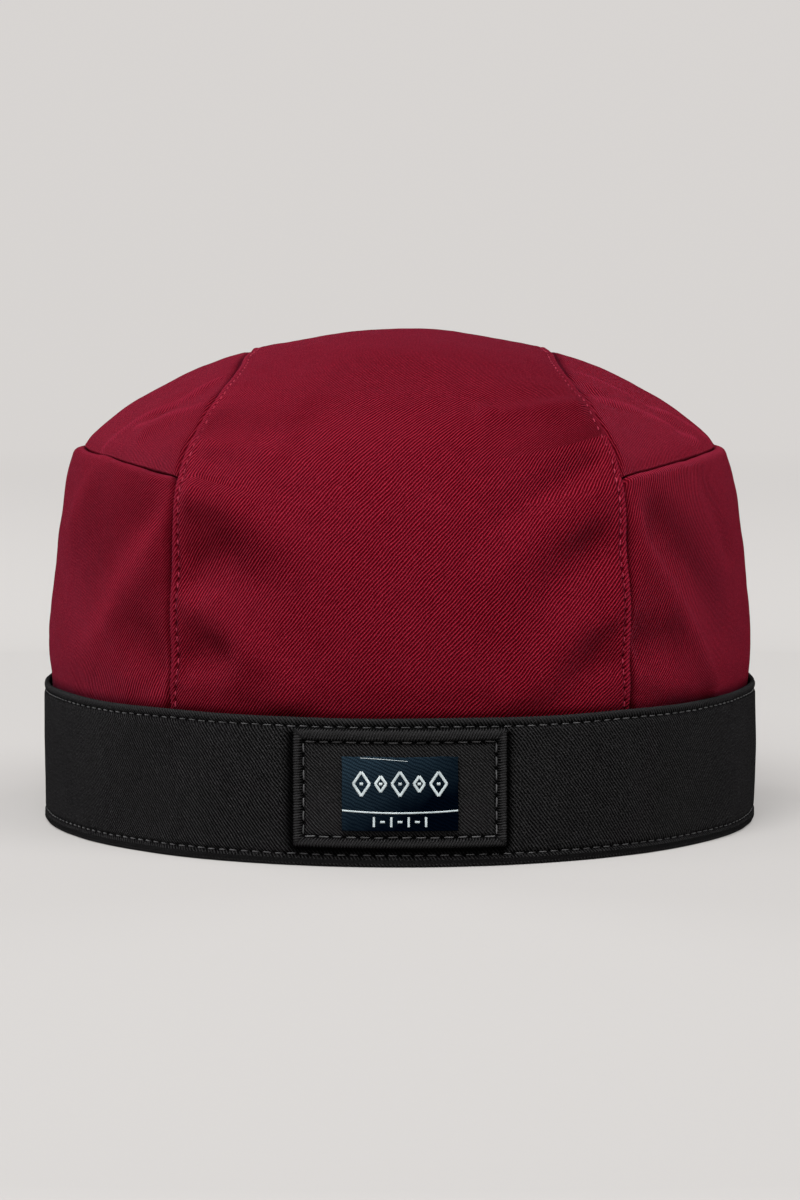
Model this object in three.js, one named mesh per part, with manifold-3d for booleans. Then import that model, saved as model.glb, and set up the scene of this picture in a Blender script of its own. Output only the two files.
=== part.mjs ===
// A soft chef's beanie: a crimson twill crown sewn into a black head band that carries a stitched patch
// with a small woven label. The crown is one strip from front to back and, on each flank, a top panel
// above an upright side panel. Every piece is a cloth wall, and the head's hollow inside is open.
// Millimetres, +Z up. The front faces -Y, left is -X, and the rim stands on Z = 0.
import * as THREE from 'three';
import { mergeVertices } from 'three/addons/utils/BufferGeometryUtils.js';
import Module from 'manifold-3d';

const wasm = await Module();
wasm.setup();

// The head it fits: the length round the inside of the band, and that oval's length over its width.
const HEAD_SIZE = 559;
const OVAL_RATIO = 1.223;

const GAP = 0.3; // clear space between neighbouring pieces
const CROWN_CLOTH = 1.2; // wall of a crown panel
const STEPS_ROUND = 64; // facets round the hat
const STEPS_UP = 20; // facets from the crown's lower edge to its apex
const SEAM_STEPS = 32; // facets along a cutting seam

// The head band. The crown's edge hangs behind its outer ply, down to the ledge.
const BAND = { height: 32, thickness: 2.7, outerPly: 1.1, ledge: 26.5, softEdge: 0.6 };

// The patch and its label, as rounded plates that lie on the band's front.
const PATCH = { halfWidth: 22.8, low: 4.2, high: 30, corner: 1.5, thickness: 1.2 };
const LABEL = { halfWidth: 12.4, low: 8.1, high: 24, corner: 0.4, thickness: 0.6 };

// The crown's oval sections: height at the flanks, and how far the section lies inside the band's outer
// oval at the sides and at the front and back.
const CROWN_SECTIONS = [
  { height: 27, side: 1.8, front: 1.8 },
  { height: 32.5, side: 1.5, front: 1.6 },
  { height: 39.1, side: 1.2, front: 1.5 },
  { height: 48.2, side: 1.6, front: 1.9 },
  { height: 58.3, side: 2.5, front: 2.9 },
  { height: 68.5, side: 3.7, front: 4.2 },
  { height: 77.6, side: 5.1, front: 5.8 },
  { height: 84.5, side: 7.2, front: 7.6 },
  { height: 85.9, side: 9.4, front: 8.2 },
  { height: 89, side: 11.9, front: 9.7 },
  { height: 93.8, side: 17.7, front: 12.7 },
  { height: 98.5, side: 25.1, front: 17.4 },
  { height: 103.2, side: 34.2, front: 26.7 },
  { height: 107.9, side: 47.3, front: 44 },
  { height: 111, side: 62.5, front: 63 },
  { height: 112.3, side: 74.5, front: 80 },
];
const CROWN_TOP = 112.8;

// The shoulder, where the side panels end, dips towards the front and back.
const SHOULDER = { height: 85.9, front: 8.2, wallTop: 50, crest: 86.7, dip: 9, power: 3 };

// Half width of the crown's strip at distances from the middle of the top, the same to front and back.
const STRIP_WIDTHS = [
  { along: 0, half: 34 },
  { along: 36, half: 36.7 },
  { along: 47, half: 39.3 },
  { along: 58, half: 42.8 },
  { along: 66, half: 47 },
  { along: 71, half: 48.6 },
  { along: 78, half: 50.3 },
  { along: 110, half: 52 },
];

// Soft folds in the cloth. Each runs from one place to another, by azimuth (degrees from the front, plus
// to the right) and section height, and fades along its length. A negative depth is a ridge.
const FOLDS = [
  // Slack that runs from the long seams down into the strip's front.
  { azimuth: -37, height: 73, toAzimuth: -17, toHeight: 61, halfWidth: 6, depth: 1.3 },
  { azimuth: -37, height: 50.5, toAzimuth: -22, toHeight: 37.5, halfWidth: 5, depth: 1 },
  { azimuth: 37, height: 75, toAzimuth: 17, toHeight: 62, halfWidth: 6, depth: 1.3 },
  { azimuth: 38, height: 50.5, toAzimuth: 22, toHeight: 36.5, halfWidth: 5, depth: 1.2 },
  { azimuth: 42, height: 93, toAzimuth: 22, toHeight: 89, halfWidth: 4, depth: 0.6 },
  // Hollows and drag lines of the side panels.
  { azimuth: -62, height: 79, toAzimuth: -50, toHeight: 80, halfWidth: 8, depth: 0.9 },
  { azimuth: -42, height: 79, toAzimuth: -57, toHeight: 44.5, halfWidth: 5, depth: -0.6 },
  { azimuth: -44, height: 56.5, toAzimuth: -47, toHeight: 50.5, halfWidth: 6, depth: 0.8 },
  { azimuth: 45, height: 81, toAzimuth: 57, toHeight: 65, halfWidth: 7, depth: 1.2 },
  { azimuth: 44, height: 76, toAzimuth: 60, toHeight: 36.5, halfWidth: 4, depth: -0.8 },
  { azimuth: 46, height: 50.5, toAzimuth: 49, toHeight: 46.5, halfWidth: 6, depth: 0.9 },
  // Ridges pulled up across the top panels.
  { azimuth: -67, height: 90, toAzimuth: -54, toHeight: 99, halfWidth: 4, depth: -0.5 },
  { azimuth: 56, height: 99, toAzimuth: 58, toHeight: 91, halfWidth: 4, depth: -0.5 },
];
const FOLD_FADE = 0.6; // share of its depth that a fold loses along its length
const FOLD_RADIUS = 90; // turns an azimuth into a distance along the cloth

const REACH = 130; // past the hat on every side, for the cutting shapes

// Length round an oval, by Ramanujan's formula.
function ovalPerimeter(halfWidth, halfLength) {
  const sum = halfWidth + halfLength;
  const root = Math.sqrt((3 * halfWidth + halfLength) * (halfWidth + 3 * halfLength));
  return Math.PI * (3 * sum - root);
}

const innerHalfWidth = HEAD_SIZE / ovalPerimeter(1, OVAL_RATIO);
const OUTER_WIDTH = innerHalfWidth + BAND.thickness;
const OUTER_LENGTH = innerHalfWidth * OVAL_RATIO + BAND.thickness;

// Booleans: a geometry as a closed solid, and a solid as a geometry again.
function solidOf(geometry) {
  const bare = geometry.clone();
  bare.deleteAttribute('normal');
  bare.deleteAttribute('uv');
  const merged = mergeVertices(bare, 1e-4);
  const mesh = new wasm.Mesh({
    numProp: 3,
    vertProperties: merged.getAttribute('position').array,
    triVerts: new Uint32Array(merged.index.array),
  });
  return new wasm.Manifold(mesh);
}

function geometryOf(solid) {
  const mesh = solid.getMesh();
  const geometry = new THREE.BufferGeometry();
  geometry.setAttribute('position', new THREE.BufferAttribute(mesh.vertProperties, 3));
  geometry.setIndex(new THREE.BufferAttribute(mesh.triVerts, 1));
  geometry.computeVertexNormals();
  return geometry;
}

// A closed surface through rings of points that run round the vertical axis. Its ends close on two tips,
// or else the last ring joins the first.
function surfaceThrough(rings, tips) {
  const count = rings[0].length;
  const points = rings.flat();
  const faces = [];
  const corner = (ring, step) => (ring % rings.length) * count + (step % count);
  const spans = tips ? rings.length - 1 : rings.length;
  for (let ring = 0; ring < spans; ring += 1) {
    for (let step = 0; step < count; step += 1) {
      const near = corner(ring, step);
      const next = corner(ring, step + 1);
      const far = corner(ring + 1, step + 1);
      const above = corner(ring + 1, step);
      faces.push(near, next, far, near, far, above);
    }
  }
  if (tips) {
    const start = points.push(tips[0]) - 1;
    const end = points.push(tips[1]) - 1;
    for (let step = 0; step < count; step += 1) {
      faces.push(start, corner(0, step + 1), corner(0, step));
      faces.push(end, corner(rings.length - 1, step), corner(rings.length - 1, step + 1));
    }
  }
  const geometry = new THREE.BufferGeometry().setFromPoints(points);
  geometry.setIndex(faces);
  return geometry;
}

// A point of the oval that lies a distance inside the band's outer oval.
function ovalPoint(azimuth, height, inset) {
  const x = (OUTER_WIDTH - inset) * Math.sin(azimuth);
  const y = -(OUTER_LENGTH - inset) * Math.cos(azimuth);
  return new THREE.Vector3(x, y, height);
}

function roundTheHat(pointAt) {
  const turn = (step) => (step / STEPS_ROUND) * 2 * Math.PI;
  return Array.from({ length: STEPS_ROUND }, (_, step) => pointAt(turn(step)));
}

// A ring round the head whose section is a closed outline of inset and height, outer face first and
// going up.
function ovalRing(outline) {
  const ring = ({ inset, height }) => roundTheHat((azimuth) => ovalPoint(azimuth, height, inset));
  return surfaceThrough(outline.map(ring));
}

// How far a section of this height dips at the front and back.
function dipAt(height) {
  if (height < SHOULDER.crest) {
    return SHOULDER.dip * THREE.MathUtils.smoothstep(height, SHOULDER.wallTop, SHOULDER.crest);
  }
  const rise = (height - SHOULDER.crest) / (CROWN_TOP - SHOULDER.crest);
  return SHOULDER.dip * (1 - rise * rise);
}

// How deep the folds press the cloth in at a place on the crown.
function foldDepth(azimuth, height) {
  const place = new THREE.Vector3(azimuth * FOLD_RADIUS, height, 0);
  const nearest = new THREE.Vector3();
  let depth = 0;
  for (const fold of FOLDS) {
    const line = new THREE.Line3(
      new THREE.Vector3(THREE.MathUtils.degToRad(fold.azimuth) * FOLD_RADIUS, fold.height, 0),
      new THREE.Vector3(THREE.MathUtils.degToRad(fold.toAzimuth) * FOLD_RADIUS, fold.toHeight, 0),
    );
    const along = line.closestPointToPointParameter(place, true);
    const away = line.at(along, nearest).distanceTo(place) / fold.halfWidth;
    depth += fold.depth * (1 - FOLD_FADE * along) * Math.exp(-away * away);
  }
  return depth * THREE.MathUtils.smoothstep(height, BAND.height, BAND.height + 8);
}

// The crown's section curve: each point holds a section's half width, half length and height.
const sectionCurve = new THREE.CatmullRomCurve3([
  ...CROWN_SECTIONS.map(({ height, side, front }) => (
    new THREE.Vector3(OUTER_WIDTH - side, OUTER_LENGTH - front, height)
  )),
  new THREE.Vector3(0, 0, CROWN_TOP),
]);

function smoothCrown(azimuth, share) {
  const section = sectionCurve.getPoint(share);
  const dip = dipAt(section.z) * Math.abs(Math.cos(azimuth)) ** SHOULDER.power;
  const x = section.x * Math.sin(azimuth);
  const y = -section.y * Math.cos(azimuth);
  return new THREE.Vector3(x, y, section.z - dip);
}

// A point of the crown's wall, a depth below its unfolded outer surface.
function crownPoint(azimuth, share, depth) {
  const step = 1e-3;
  const round = smoothCrown(azimuth + step, share).sub(smoothCrown(azimuth - step, share));
  const higher = smoothCrown(azimuth, Math.min(share + step, 1));
  const lower = smoothCrown(azimuth, Math.max(share - step, 0));
  const outward = round.cross(higher.sub(lower)).normalize();
  const signed = azimuth > Math.PI ? azimuth - 2 * Math.PI : azimuth;
  const inward = depth + foldDepth(signed, sectionCurve.getPoint(share).z);
  return smoothCrown(azimuth, share).addScaledVector(outward, -inward);
}

function crownShell() {
  const ringAt = (level, depth) => roundTheHat((azimuth) => crownPoint(azimuth, level / STEPS_UP, depth));
  const levels = Array.from({ length: STEPS_UP }, (_, level) => level);
  const inside = levels.map((level) => ringAt(level, CROWN_CLOTH)).reverse();
  const outside = levels.map((level) => ringAt(level, 0));
  const tips = [new THREE.Vector3(0, 0, CROWN_TOP - CROWN_CLOTH), new THREE.Vector3(0, 0, CROWN_TOP)];
  return solidOf(surfaceThrough([...inside, ...outside], tips));
}

// The long seam in plan, from the back of the hat to the front, moved out by a distance.
const seamCurve = new THREE.SplineCurve([
  ...STRIP_WIDTHS.map(({ along, half }) => new THREE.Vector2(half, along)).reverse(),
  ...STRIP_WIDTHS.slice(1).map(({ along, half }) => new THREE.Vector2(half, -along)),
]);

function seamInPlan(side, moved) {
  return seamCurve.getPoints(SEAM_STEPS).map(({ x, y }) => new THREE.Vector2(side * (x + moved), y));
}

function standingPrism(outline) {
  return solidOf(new THREE.ExtrudeGeometry(new THREE.Shape(outline), { depth: REACH, bevelEnabled: false }));
}

function stripCutter() {
  return standingPrism([...seamInPlan(1, -GAP / 2), ...seamInPlan(-1, -GAP / 2).reverse()]);
}

function flankCutter(side) {
  const far = [new THREE.Vector2(side * REACH, -REACH), new THREE.Vector2(side * REACH, REACH)];
  return standingPrism([...seamInPlan(side, GAP / 2), ...far]);
}

// A prism across the hat between the shoulder seam, moved by a distance, and a level height.
function shoulderCutter(level, moved) {
  const halfLength = OUTER_LENGTH - SHOULDER.front;
  const seam = Array.from({ length: SEAM_STEPS + 1 }, (_, step) => {
    const y = (2 * step / SEAM_STEPS - 1) * halfLength;
    const dip = dipAt(SHOULDER.height) * Math.abs(y / halfLength) ** SHOULDER.power;
    return new THREE.Vector2(y, SHOULDER.height - dip + moved);
  });
  const ends = [new THREE.Vector2(REACH, level), new THREE.Vector2(-REACH, level)];
  const first = new THREE.Vector2(-REACH, seam[0].y);
  const last = new THREE.Vector2(REACH, seam[0].y);
  const shape = new THREE.Shape([first, ...seam, last, ...ends]);
  const prism = new THREE.ExtrudeGeometry(shape, { depth: 2 * REACH, bevelEnabled: false });
  prism.translate(0, 0, -REACH);
  const across = new THREE.Vector3(1, 0, 0);
  const along = new THREE.Vector3(0, 1, 0);
  const up = new THREE.Vector3(0, 0, 1);
  prism.applyMatrix4(new THREE.Matrix4().makeBasis(along, up, across));
  return solidOf(prism);
}

function bandGeometry() {
  const { height, thickness, outerPly, ledge, softEdge } = BAND;
  return ovalRing([
    { inset: 0, height: softEdge },
    { inset: 0, height: height - softEdge / 2 },
    { inset: softEdge / 2, height },
    { inset: outerPly, height },
    { inset: outerPly, height: ledge },
    { inset: thickness, height: ledge },
    { inset: thickness, height: softEdge },
    { inset: thickness - softEdge, height: 0 },
    { inset: softEdge, height: 0 },
  ]);
}

// A plate with rounded corners that follows the band's front, lying a distance proud of it.
function plateGeometry({ halfWidth, low, high, corner, thickness }, proud) {
  const wall = ovalRing([
    { inset: -proud - thickness, height: low - 1 },
    { inset: -proud - thickness, height: high + 1 },
    { inset: -proud, height: high + 1 },
    { inset: -proud, height: low - 1 },
  ]);
  const quarter = Math.PI / 2;
  const shape = new THREE.Shape();
  shape.absarc(halfWidth - corner, low + corner, corner, -quarter, 0);
  shape.absarc(halfWidth - corner, high - corner, corner, 0, quarter);
  shape.absarc(corner - halfWidth, high - corner, corner, quarter, 2 * quarter);
  shape.absarc(corner - halfWidth, low + corner, corner, 2 * quarter, 3 * quarter);
  const block = new THREE.ExtrudeGeometry(shape, { depth: REACH, bevelEnabled: false, curveSegments: 4 });
  block.rotateX(quarter);
  return geometryOf(solidOf(wall).intersect(solidOf(block)));
}

const crimsonTwill = new THREE.MeshStandardMaterial({ color: '#7b1a2c', roughness: 0.9, metalness: 0 });
const blackTwill = new THREE.MeshStandardMaterial({ color: '#1d1d1f', roughness: 0.92, metalness: 0 });
const navyWeave = new THREE.MeshStandardMaterial({ color: '#18242f', roughness: 0.7, metalness: 0 });

function piece(name, geometry, material) {
  const mesh = new THREE.Mesh(geometry, material.clone());
  mesh.name = name;
  return mesh;
}

const crown = new THREE.Group();
const shell = crownShell();
crown.add(piece('centre_panel', geometryOf(shell.intersect(stripCutter())), crimsonTwill));
const aboveShoulder = shoulderCutter(REACH, GAP / 2);
const belowShoulder = shoulderCutter(0, -GAP / 2);
for (const [name, side] of [['left', -1], ['right', 1]]) {
  const flank = shell.intersect(flankCutter(side));
  crown.add(piece(`top_panel_${name}`, geometryOf(flank.intersect(aboveShoulder)), crimsonTwill));
  crown.add(piece(`side_panel_${name}`, geometryOf(flank.intersect(belowShoulder)), crimsonTwill));
}

const headBand = new THREE.Group();
headBand.add(piece('band', bandGeometry(), blackTwill));
headBand.add(piece('label_patch', plateGeometry(PATCH, GAP), blackTwill));
const labelProud = GAP + PATCH.thickness + GAP;
headBand.add(piece('woven_label', plateGeometry(LABEL, labelProud), navyWeave));

// The patch and label stand proud of the oval, so the whole hat moves back to keep its middle at Y = 0.
const beanie = new THREE.Group();
beanie.add(crown, headBand);
beanie.position.y = (labelProud + LABEL.thickness) / 2;

export default beanie;
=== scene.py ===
"""A soft chef's beanie: a crimson twill crown on a black head band, with a stitched patch and a small
woven label. The crown is a strip from front to back with, on each flank, a top panel above an upright
side panel. Shapes are worked out in millimetres about the middle of the band's oval, +Z up, the front
towards -Y, and are written to the meshes in metres."""

import math
from collections import namedtuple
from functools import partialmethod

import bpy
import numpy as np
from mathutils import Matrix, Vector


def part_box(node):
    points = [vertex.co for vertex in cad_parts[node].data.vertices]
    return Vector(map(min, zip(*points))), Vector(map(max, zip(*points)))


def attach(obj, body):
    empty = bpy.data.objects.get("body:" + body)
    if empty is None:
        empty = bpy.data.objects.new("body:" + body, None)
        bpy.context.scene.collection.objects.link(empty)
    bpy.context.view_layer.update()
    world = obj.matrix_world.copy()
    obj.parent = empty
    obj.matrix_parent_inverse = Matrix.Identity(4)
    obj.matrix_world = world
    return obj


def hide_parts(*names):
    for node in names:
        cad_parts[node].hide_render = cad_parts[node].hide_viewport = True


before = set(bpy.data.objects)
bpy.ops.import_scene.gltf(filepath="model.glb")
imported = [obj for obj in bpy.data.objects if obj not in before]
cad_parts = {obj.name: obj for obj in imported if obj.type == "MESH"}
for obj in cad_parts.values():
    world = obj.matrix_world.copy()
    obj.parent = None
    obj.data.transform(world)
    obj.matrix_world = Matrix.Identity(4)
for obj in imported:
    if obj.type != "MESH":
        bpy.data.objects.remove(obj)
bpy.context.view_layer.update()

MM = 0.001
RNG_SEED = 5

# ---- sizes

band_low, band_high = (np.array(corner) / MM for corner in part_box("band"))
CENTRE = np.array([0.0, (band_low[1] + band_high[1]) / 2, 0.0])
OUTER_WIDTH, OUTER_LENGTH = (band_high - band_low)[:2] / 2
BAND_HEIGHT = band_high[2]
CROWN_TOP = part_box("centre_panel")[1].z / MM

CROWN_CLOTH = 1.0
CROWN_LOW = 27.0  # section height where the crown's cloth ends behind the band

# The crown's level sections: height, and how far each lies inside the band's oval at the side and front.
Section = namedtuple("Section", "height side front")
SECTIONS = [
    Section(27, 1.8, 1.8),
    Section(32.5, 1.6, 2.7),
    Section(39.1, 0.9, 1.6),
    Section(48.2, 1.4, 1.9),
    Section(58.3, 2.5, 2.9),
    Section(68.5, 3.7, 4.2),
    Section(77.6, 5.1, 5.8),
    Section(84.5, 7.2, 7.6),
    Section(85.9, 9.4, 8.2),
    Section(89, 11.9, 9.7),
    Section(93.8, 17.7, 12.7),
    Section(98.5, 25.1, 17.4),
    Section(103.2, 34.2, 26.7),
    Section(107.9, 47.3, 44),
    Section(111, 62.5, 63),
]
SHOULDER = 85.9  # section height of the seam between a side panel and a top panel
WALL_TOP, CREST, DIP, DIP_POWER = 50, 86.7, 9, 3  # how the sections dip at the front and back
STRIP_TURN = 93.8  # section height above which the strip's rows straighten towards the top

# Half the strip's width, by the distance from the hat's middle to the front or back.
StripWidth = namedtuple("StripWidth", "along half")
STRIP_WIDTHS = [
    StripWidth(0, 34),
    StripWidth(36, 36.7),
    StripWidth(47, 39.3),
    StripWidth(58, 42.8),
    StripWidth(66, 47),
    StripWidth(71, 48.6),
    StripWidth(78, 50.3),
    StripWidth(110, 52),
]

# Soft folds, each from one place to another by azimuth in degrees and section height. Widths are half
# widths, a negative depth is a ridge, and bow is how far the fold's line bends aside at its middle. The
# folds of the front were placed by hand and then fitted to the photo's shading by a scratch program.
Fold = namedtuple("Fold", "azimuth height to_azimuth to_height width to_width depth to_depth bow")
STRIP_FOLDS = [
    (-34.4, 63.8, -17.4, 57, 7.4, 7.6, 3.24, 0.55, 2.8),
    (-35.7, 43.7, -20.9, 39.4, 5.1, 4.1, 3.73, 0.9, 2.1),
    (33.5, 69, 21.1, 53, 7.8, 6.4, 3.69, 0.64, -1.9),
    (35.5, 42.5, 22.8, 35.4, 5.4, 5.4, 3.07, -0.37, -1.8),
    (38.4, 89.8, 17.7, 82.6, 2, 5, 2.35, 1.29, -1.3),
    (-35.5, 82.6, -18.6, 75.1, 5.3, 5.9, -3.48, -0.77, 2.1),
    (-35.1, 56.2, -17.2, 34.3, 3.3, 6.5, -0.79, -1.89, 1.7),
    (34.5, 80.1, 13.7, 64.2, 4.9, 6.3, -1, -0.39, -2.2),
    (35.9, 54.2, 17.2, 34.8, 4.3, 4.7, -0.98, -0.94, -2.1),
    (-45.7, 99.3, -23.6, 101.8, 3.8, 5.9, -0.7, -0.79, 0.2),
    (-42.4, 95.7, -20.8, 97, 2.7, 4.9, 1.14, 0.86, 0.3),
    (47.4, 99, 22.5, 100, 3.7, 6.1, -0.88, -0.09, 0.2),
    (41.1, 95.8, 20.9, 98.4, 3.8, 5.7, -0.5, 0.29, -0.4),
    (-36.2, 88.7, -23.7, 91.2, 3.3, 5.5, 0.85, -0.13, 0.1),
    (-34.6, 68.1, -29.5, 70.6, 3.2, 4.8, 0.42, 1.13, 0.3),
    (-30.8, 40.7, -25, 42.2, 3.4, 4.8, 0.3, -1.5, -0.6),
    (31.5, 42.8, 27.2, 36.7, 4, 3.9, 1.13, 0.35, -0.1),
    (19.6, 101.2, 53, 98.9, 1.3, 1.7, -1.57, -1.6, -0.4),
    (-36.8, 67, -28.2, 62, 2.6, 3.2, 0.19, -0.39, 0.2),
    (-36.5, 61.1, -30.4, 56.7, 2.1, 2.9, 0.53, -0.36, -0.1),
    (-36.2, 51.3, -29, 45.4, 2.7, 2.5, 0.01, 0.5, 0),
    (-35.9, 46, -28.5, 41.3, 2.3, 3.2, -0.7, 0.25, -0.4),
    (36.9, 73.3, 26.7, 71.5, 2.4, 3.6, 0.17, 0.26, 0.4),
    (35.4, 48.6, 27, 44.8, 2.5, 3.1, 0.58, 0.14, -0.2),
    (35.2, 56.7, 28.2, 51.9, 2.5, 3.1, 0.27, -0.46, 0.1),
    (35.1, 44.3, 30, 39.3, 2.3, 2.6, -0.59, 0.04, 0),
    (37.3, 86.1, 27.9, 86.5, 2.6, 3.2, -0.37, 0.22, 0),
    (-48.5, 98.4, -24.9, 100.9, 1.4, 2.3, -0.33, -0.76, 0.1),
    (-40.2, 92.7, -24.7, 93.7, 1.5, 3.1, -0.7, -0.77, 0.1),
    (23.8, 101.4, 45.4, 101.4, 2, 1.8, 0.36, 0.44, 0),
    (19.8, 98, 41.7, 96.5, 2.7, 2.3, 0.08, 0.28, -0.3),
    (-146, 69, -164, 61, 6, 7, 1.8, 0.4, -1.2),
    (-145, 47, -160, 39, 5, 6, 1.6, 0.1, -1.2),
    (146, 73, 163, 58, 6, 7, 1.8, 0.4, 1),
    (145, 48, 158, 38, 5, 6, 1.4, 0.1, 1),
    (-143, 89, -160, 85, 3.2, 5, 1.1, 0.5, 0),
]
SIDE_FOLDS = [
    (-45.4, 76.5, -59.6, 56.5, 6.5, 10.3, 2.44, 2.12, -1.3),
    (-40.2, 74.6, -59.5, 42.5, 7.4, 5.1, -2.43, -0.35, 3.6),
    (-48.5, 48.7, -41.1, 41.4, 5, 5.7, 1.82, 2.91, 0.2),
    (-47.8, 42.6, -39.8, 36.2, 4, 4.5, 0.73, 0.2, 0),
    (-62.3, 80.5, -68.5, 71.1, 5.6, 6.3, -1.57, -1.09, 0.1),
    (47.5, 71.5, 61.9, 48.6, 6.6, 9.9, 3.5, 3.3, 0.3),
    (40.9, 74.3, 60.6, 29.6, 5.3, 3.8, -2.06, -3.01, -1.6),
    (40.8, 46.9, 52, 45.3, 5.3, 6.2, 3.49, 0.13, -1.5),
    (39.9, 39.7, 51.4, 34.5, 3.3, 5.7, 0.16, -1.87, -1.2),
    (43.7, 78.6, 59.4, 36.3, 1.7, 1.5, 0.4, -0.28, 0.5),
    (47.3, 77.8, 69.4, 42.4, 3.9, 4.5, 0.76, 0.44, 0.4),
    (60.1, 84.3, 69.3, 63.5, 3.3, 3, 0.55, 1.03, 0.2),
    (-43.8, 71.1, -56.6, 33.3, 2.3, 2.6, 0.11, 0.19, 0.2),
    (-49.9, 54.3, -42.1, 46.3, 2.7, 2.9, 0.36, 0.49, 0),
    (-112, 81, -98, 53, 6.5, 8, 1.4, 0.7, 2),
    (-124, 63, -136, 43, 5, 6.5, 1.4, 1, 0),
    (112, 77, 96, 47, 6.5, 8, 1.3, 0.7, -2),
    (126, 71, 138, 49, 5, 6.5, 1.6, 1, 0),
]
TOP_FOLDS = [
    (-57.4, 92.7, -54.6, 101.7, 3.1, 3.2, -1.03, -0.18, -0.9),
    (-61.2, 97.9, -54.1, 102.8, 3.2, 3.3, 1.29, 1.08, -0.4),
    (54.9, 102.2, 60.5, 93, 3.1, 2.8, 1.69, 0.21, -0.2),
    (70.3, 102.3, 68.4, 89.4, 3, 3, 0.41, 0.75, -0.1),
    (56, 99.4, 70.8, 90.5, 1.6, 1.6, 0.27, 0.23, 0),
]
FOLDS = dict(strip=STRIP_FOLDS, side=SIDE_FOLDS, top=TOP_FOLDS)
FOLD_RADIUS = 90  # turns a fold's azimuth into a distance along the cloth
FROM_FRONT = np.array([0, -0.997, 0.077])  # the direction that the folds are laid to be seen from

# Fine pressed creases over the top panels, seen in plan from one end through the middle to the other.
Crease = namedtuple("Crease", "x y middle_x middle_y end_x end_y")
CREASES = [
    Crease(-67, -34, -52, -38.8, -39, -36.9),
    Crease(-59, -41, -48.7, -49.5, -41, -52.7),
    Crease(39, -33.3, 54.4, -30.8, 71, -16),
    Crease(44, -44.5, 56, -39.2, 67, -29),
    Crease(66, 30, 52, 36, 40, 35),
    Crease(-66, 24, -54, 33, -40, 35),
]

# The long seams: the strip's edge is turned under and topstitched over the flank's cloth.
SEAM_STITCH = dict(inside=1.7, pitch=2.4)
FLANGE = 0.5  # how far the strip's edge stands up
TUCK = 1.6  # how far the flank's cloth runs on under the strip
WALL_RADIUS = 80  # turns the tuck into an azimuth on the side walls
WEAVE_BOW = 0.0022  # how the strip's weft bows towards the front and back, by the square of the distance

# Degrees from each cloth's weft to its twill lines, and how far apart the grids' inner columns are.
TWILL = dict(
    strip=48, side_left=53, side_right=51, top_left=52, top_right=122, band=129, label=135,
    patch=135, patch_level_edge=62, patch_upright_edge=8,
)
COLUMN_STEP = dict(strip=1.25, side=1.15, top=1.0, patch=0.55, label=0.4)
ROW_COUNT = dict(strip_wall=78, strip_top=104, side=54, top=150)

# Seeds of the random fields, creases and stitches. Those that come in pairs take the next numbers too.
SEED = dict(
    strip_seams=7, side_seams=13, side_shoulder=23, top_seam=31, top_shoulder=33, strip_hem=41, side_hem=43,
    seam_stitches=50, band=61, band_stitches=70, lap_stitches=80, patch_stitches=90, patch=91, label=95,
)

# The band, and its two rows of stitches.
BAND_THICK, BAND_PLY, BAND_LEDGE = 2.7, 1.1, 26.5
FOOT_ROLL = 0.8
BAND_STITCHES = 206
BAND_ROWS = dict(low=2.6, high=30.1)
STEPS_PER_STITCH = 5
LAP = dict(width=12.0, rise=0.45, rows=(2.0, 9.5), pitch=2.7)  # the lap that joins the band at the back

# The patch: its stitched rectangle from its edges, and how far it spreads past its solid sideways.
PATCH_ROW = dict(side=2.35, top=3.0, bottom=2.4, pitch=2.9)
PATCH_SPREAD = np.array([0.25, 0])
PATCH_CORNER, PATCH_ROLL, LABEL_CORNER, LABEL_ROLL = 0.5, 0.72, 0.3, 0.15
PATCH_SINK, LABEL_SINK = 0.55, 0.75  # how far behind the solids' fronts the relief starts
LABEL_CLOTH, LABEL_STAND = 0.28, 0.3  # thickness, and how far the face stands over where the relief starts
RULE_HEIGHT = 4.4  # the label's woven rule, from its lower edge
LOZENGE = dict(pitch=4.1, thread=0.68, large=(1.75, 2.6), small=(1.15, 1.7))
BAR = dict(pitch=1.85, thread=0.55, height=2.0, upright=1.05, level=0.5)


# ---- lines and surfaces

def smoothstep(value, low, high):
    share = np.clip((value - low) / (high - low), 0, 1)
    return share * share * (3 - 2 * share)


def fade(value, low, high):
    return 1 - smoothstep(value, low, high)


def bell(value, middle, width):
    return np.exp(-(((value - middle) / width) ** 2))


def smooth_line(points, after=None, samples=80):
    """Points on a centripetal Catmull-Rom line through the given ones, which goes on towards after."""
    points = np.array(points, float)
    before = 2 * points[0] - points[1]
    after = 2 * points[-1] - points[-2] if after is None else np.array(after, float)
    knots = np.vstack([before, points, after])
    times = np.concatenate([[0], np.cumsum(np.linalg.norm(np.diff(knots, axis=0), axis=1) ** 0.5)])
    line = []
    for i in range(1, len(knots) - 2):
        t0, t1, t2, t3 = times[i - 1:i + 3]
        p0, p1, p2, p3 = knots[i - 1:i + 3]
        t = np.linspace(t1, t2, samples, endpoint=False)[:, None]
        a1 = (p0 * (t1 - t) + p1 * (t - t0)) / (t1 - t0)
        a2 = (p1 * (t2 - t) + p2 * (t - t1)) / (t2 - t1)
        a3 = (p2 * (t3 - t) + p3 * (t - t2)) / (t3 - t2)
        b1 = (a1 * (t2 - t) + a2 * (t - t0)) / (t2 - t0)
        b2 = (a2 * (t3 - t) + a3 * (t - t1)) / (t3 - t1)
        line.append((b1 * (t2 - t) + b2 * (t - t1)) / (t2 - t1))
    return np.vstack([*line, points[-1:]])


def lengths_along(points):
    """Distance of each point from the first, along the last axis but one."""
    steps = np.linalg.norm(np.diff(points, axis=-2), axis=-1)
    start = np.zeros_like(steps[..., :1])
    return np.concatenate([start, np.cumsum(steps, axis=-1)], axis=-1)


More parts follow.
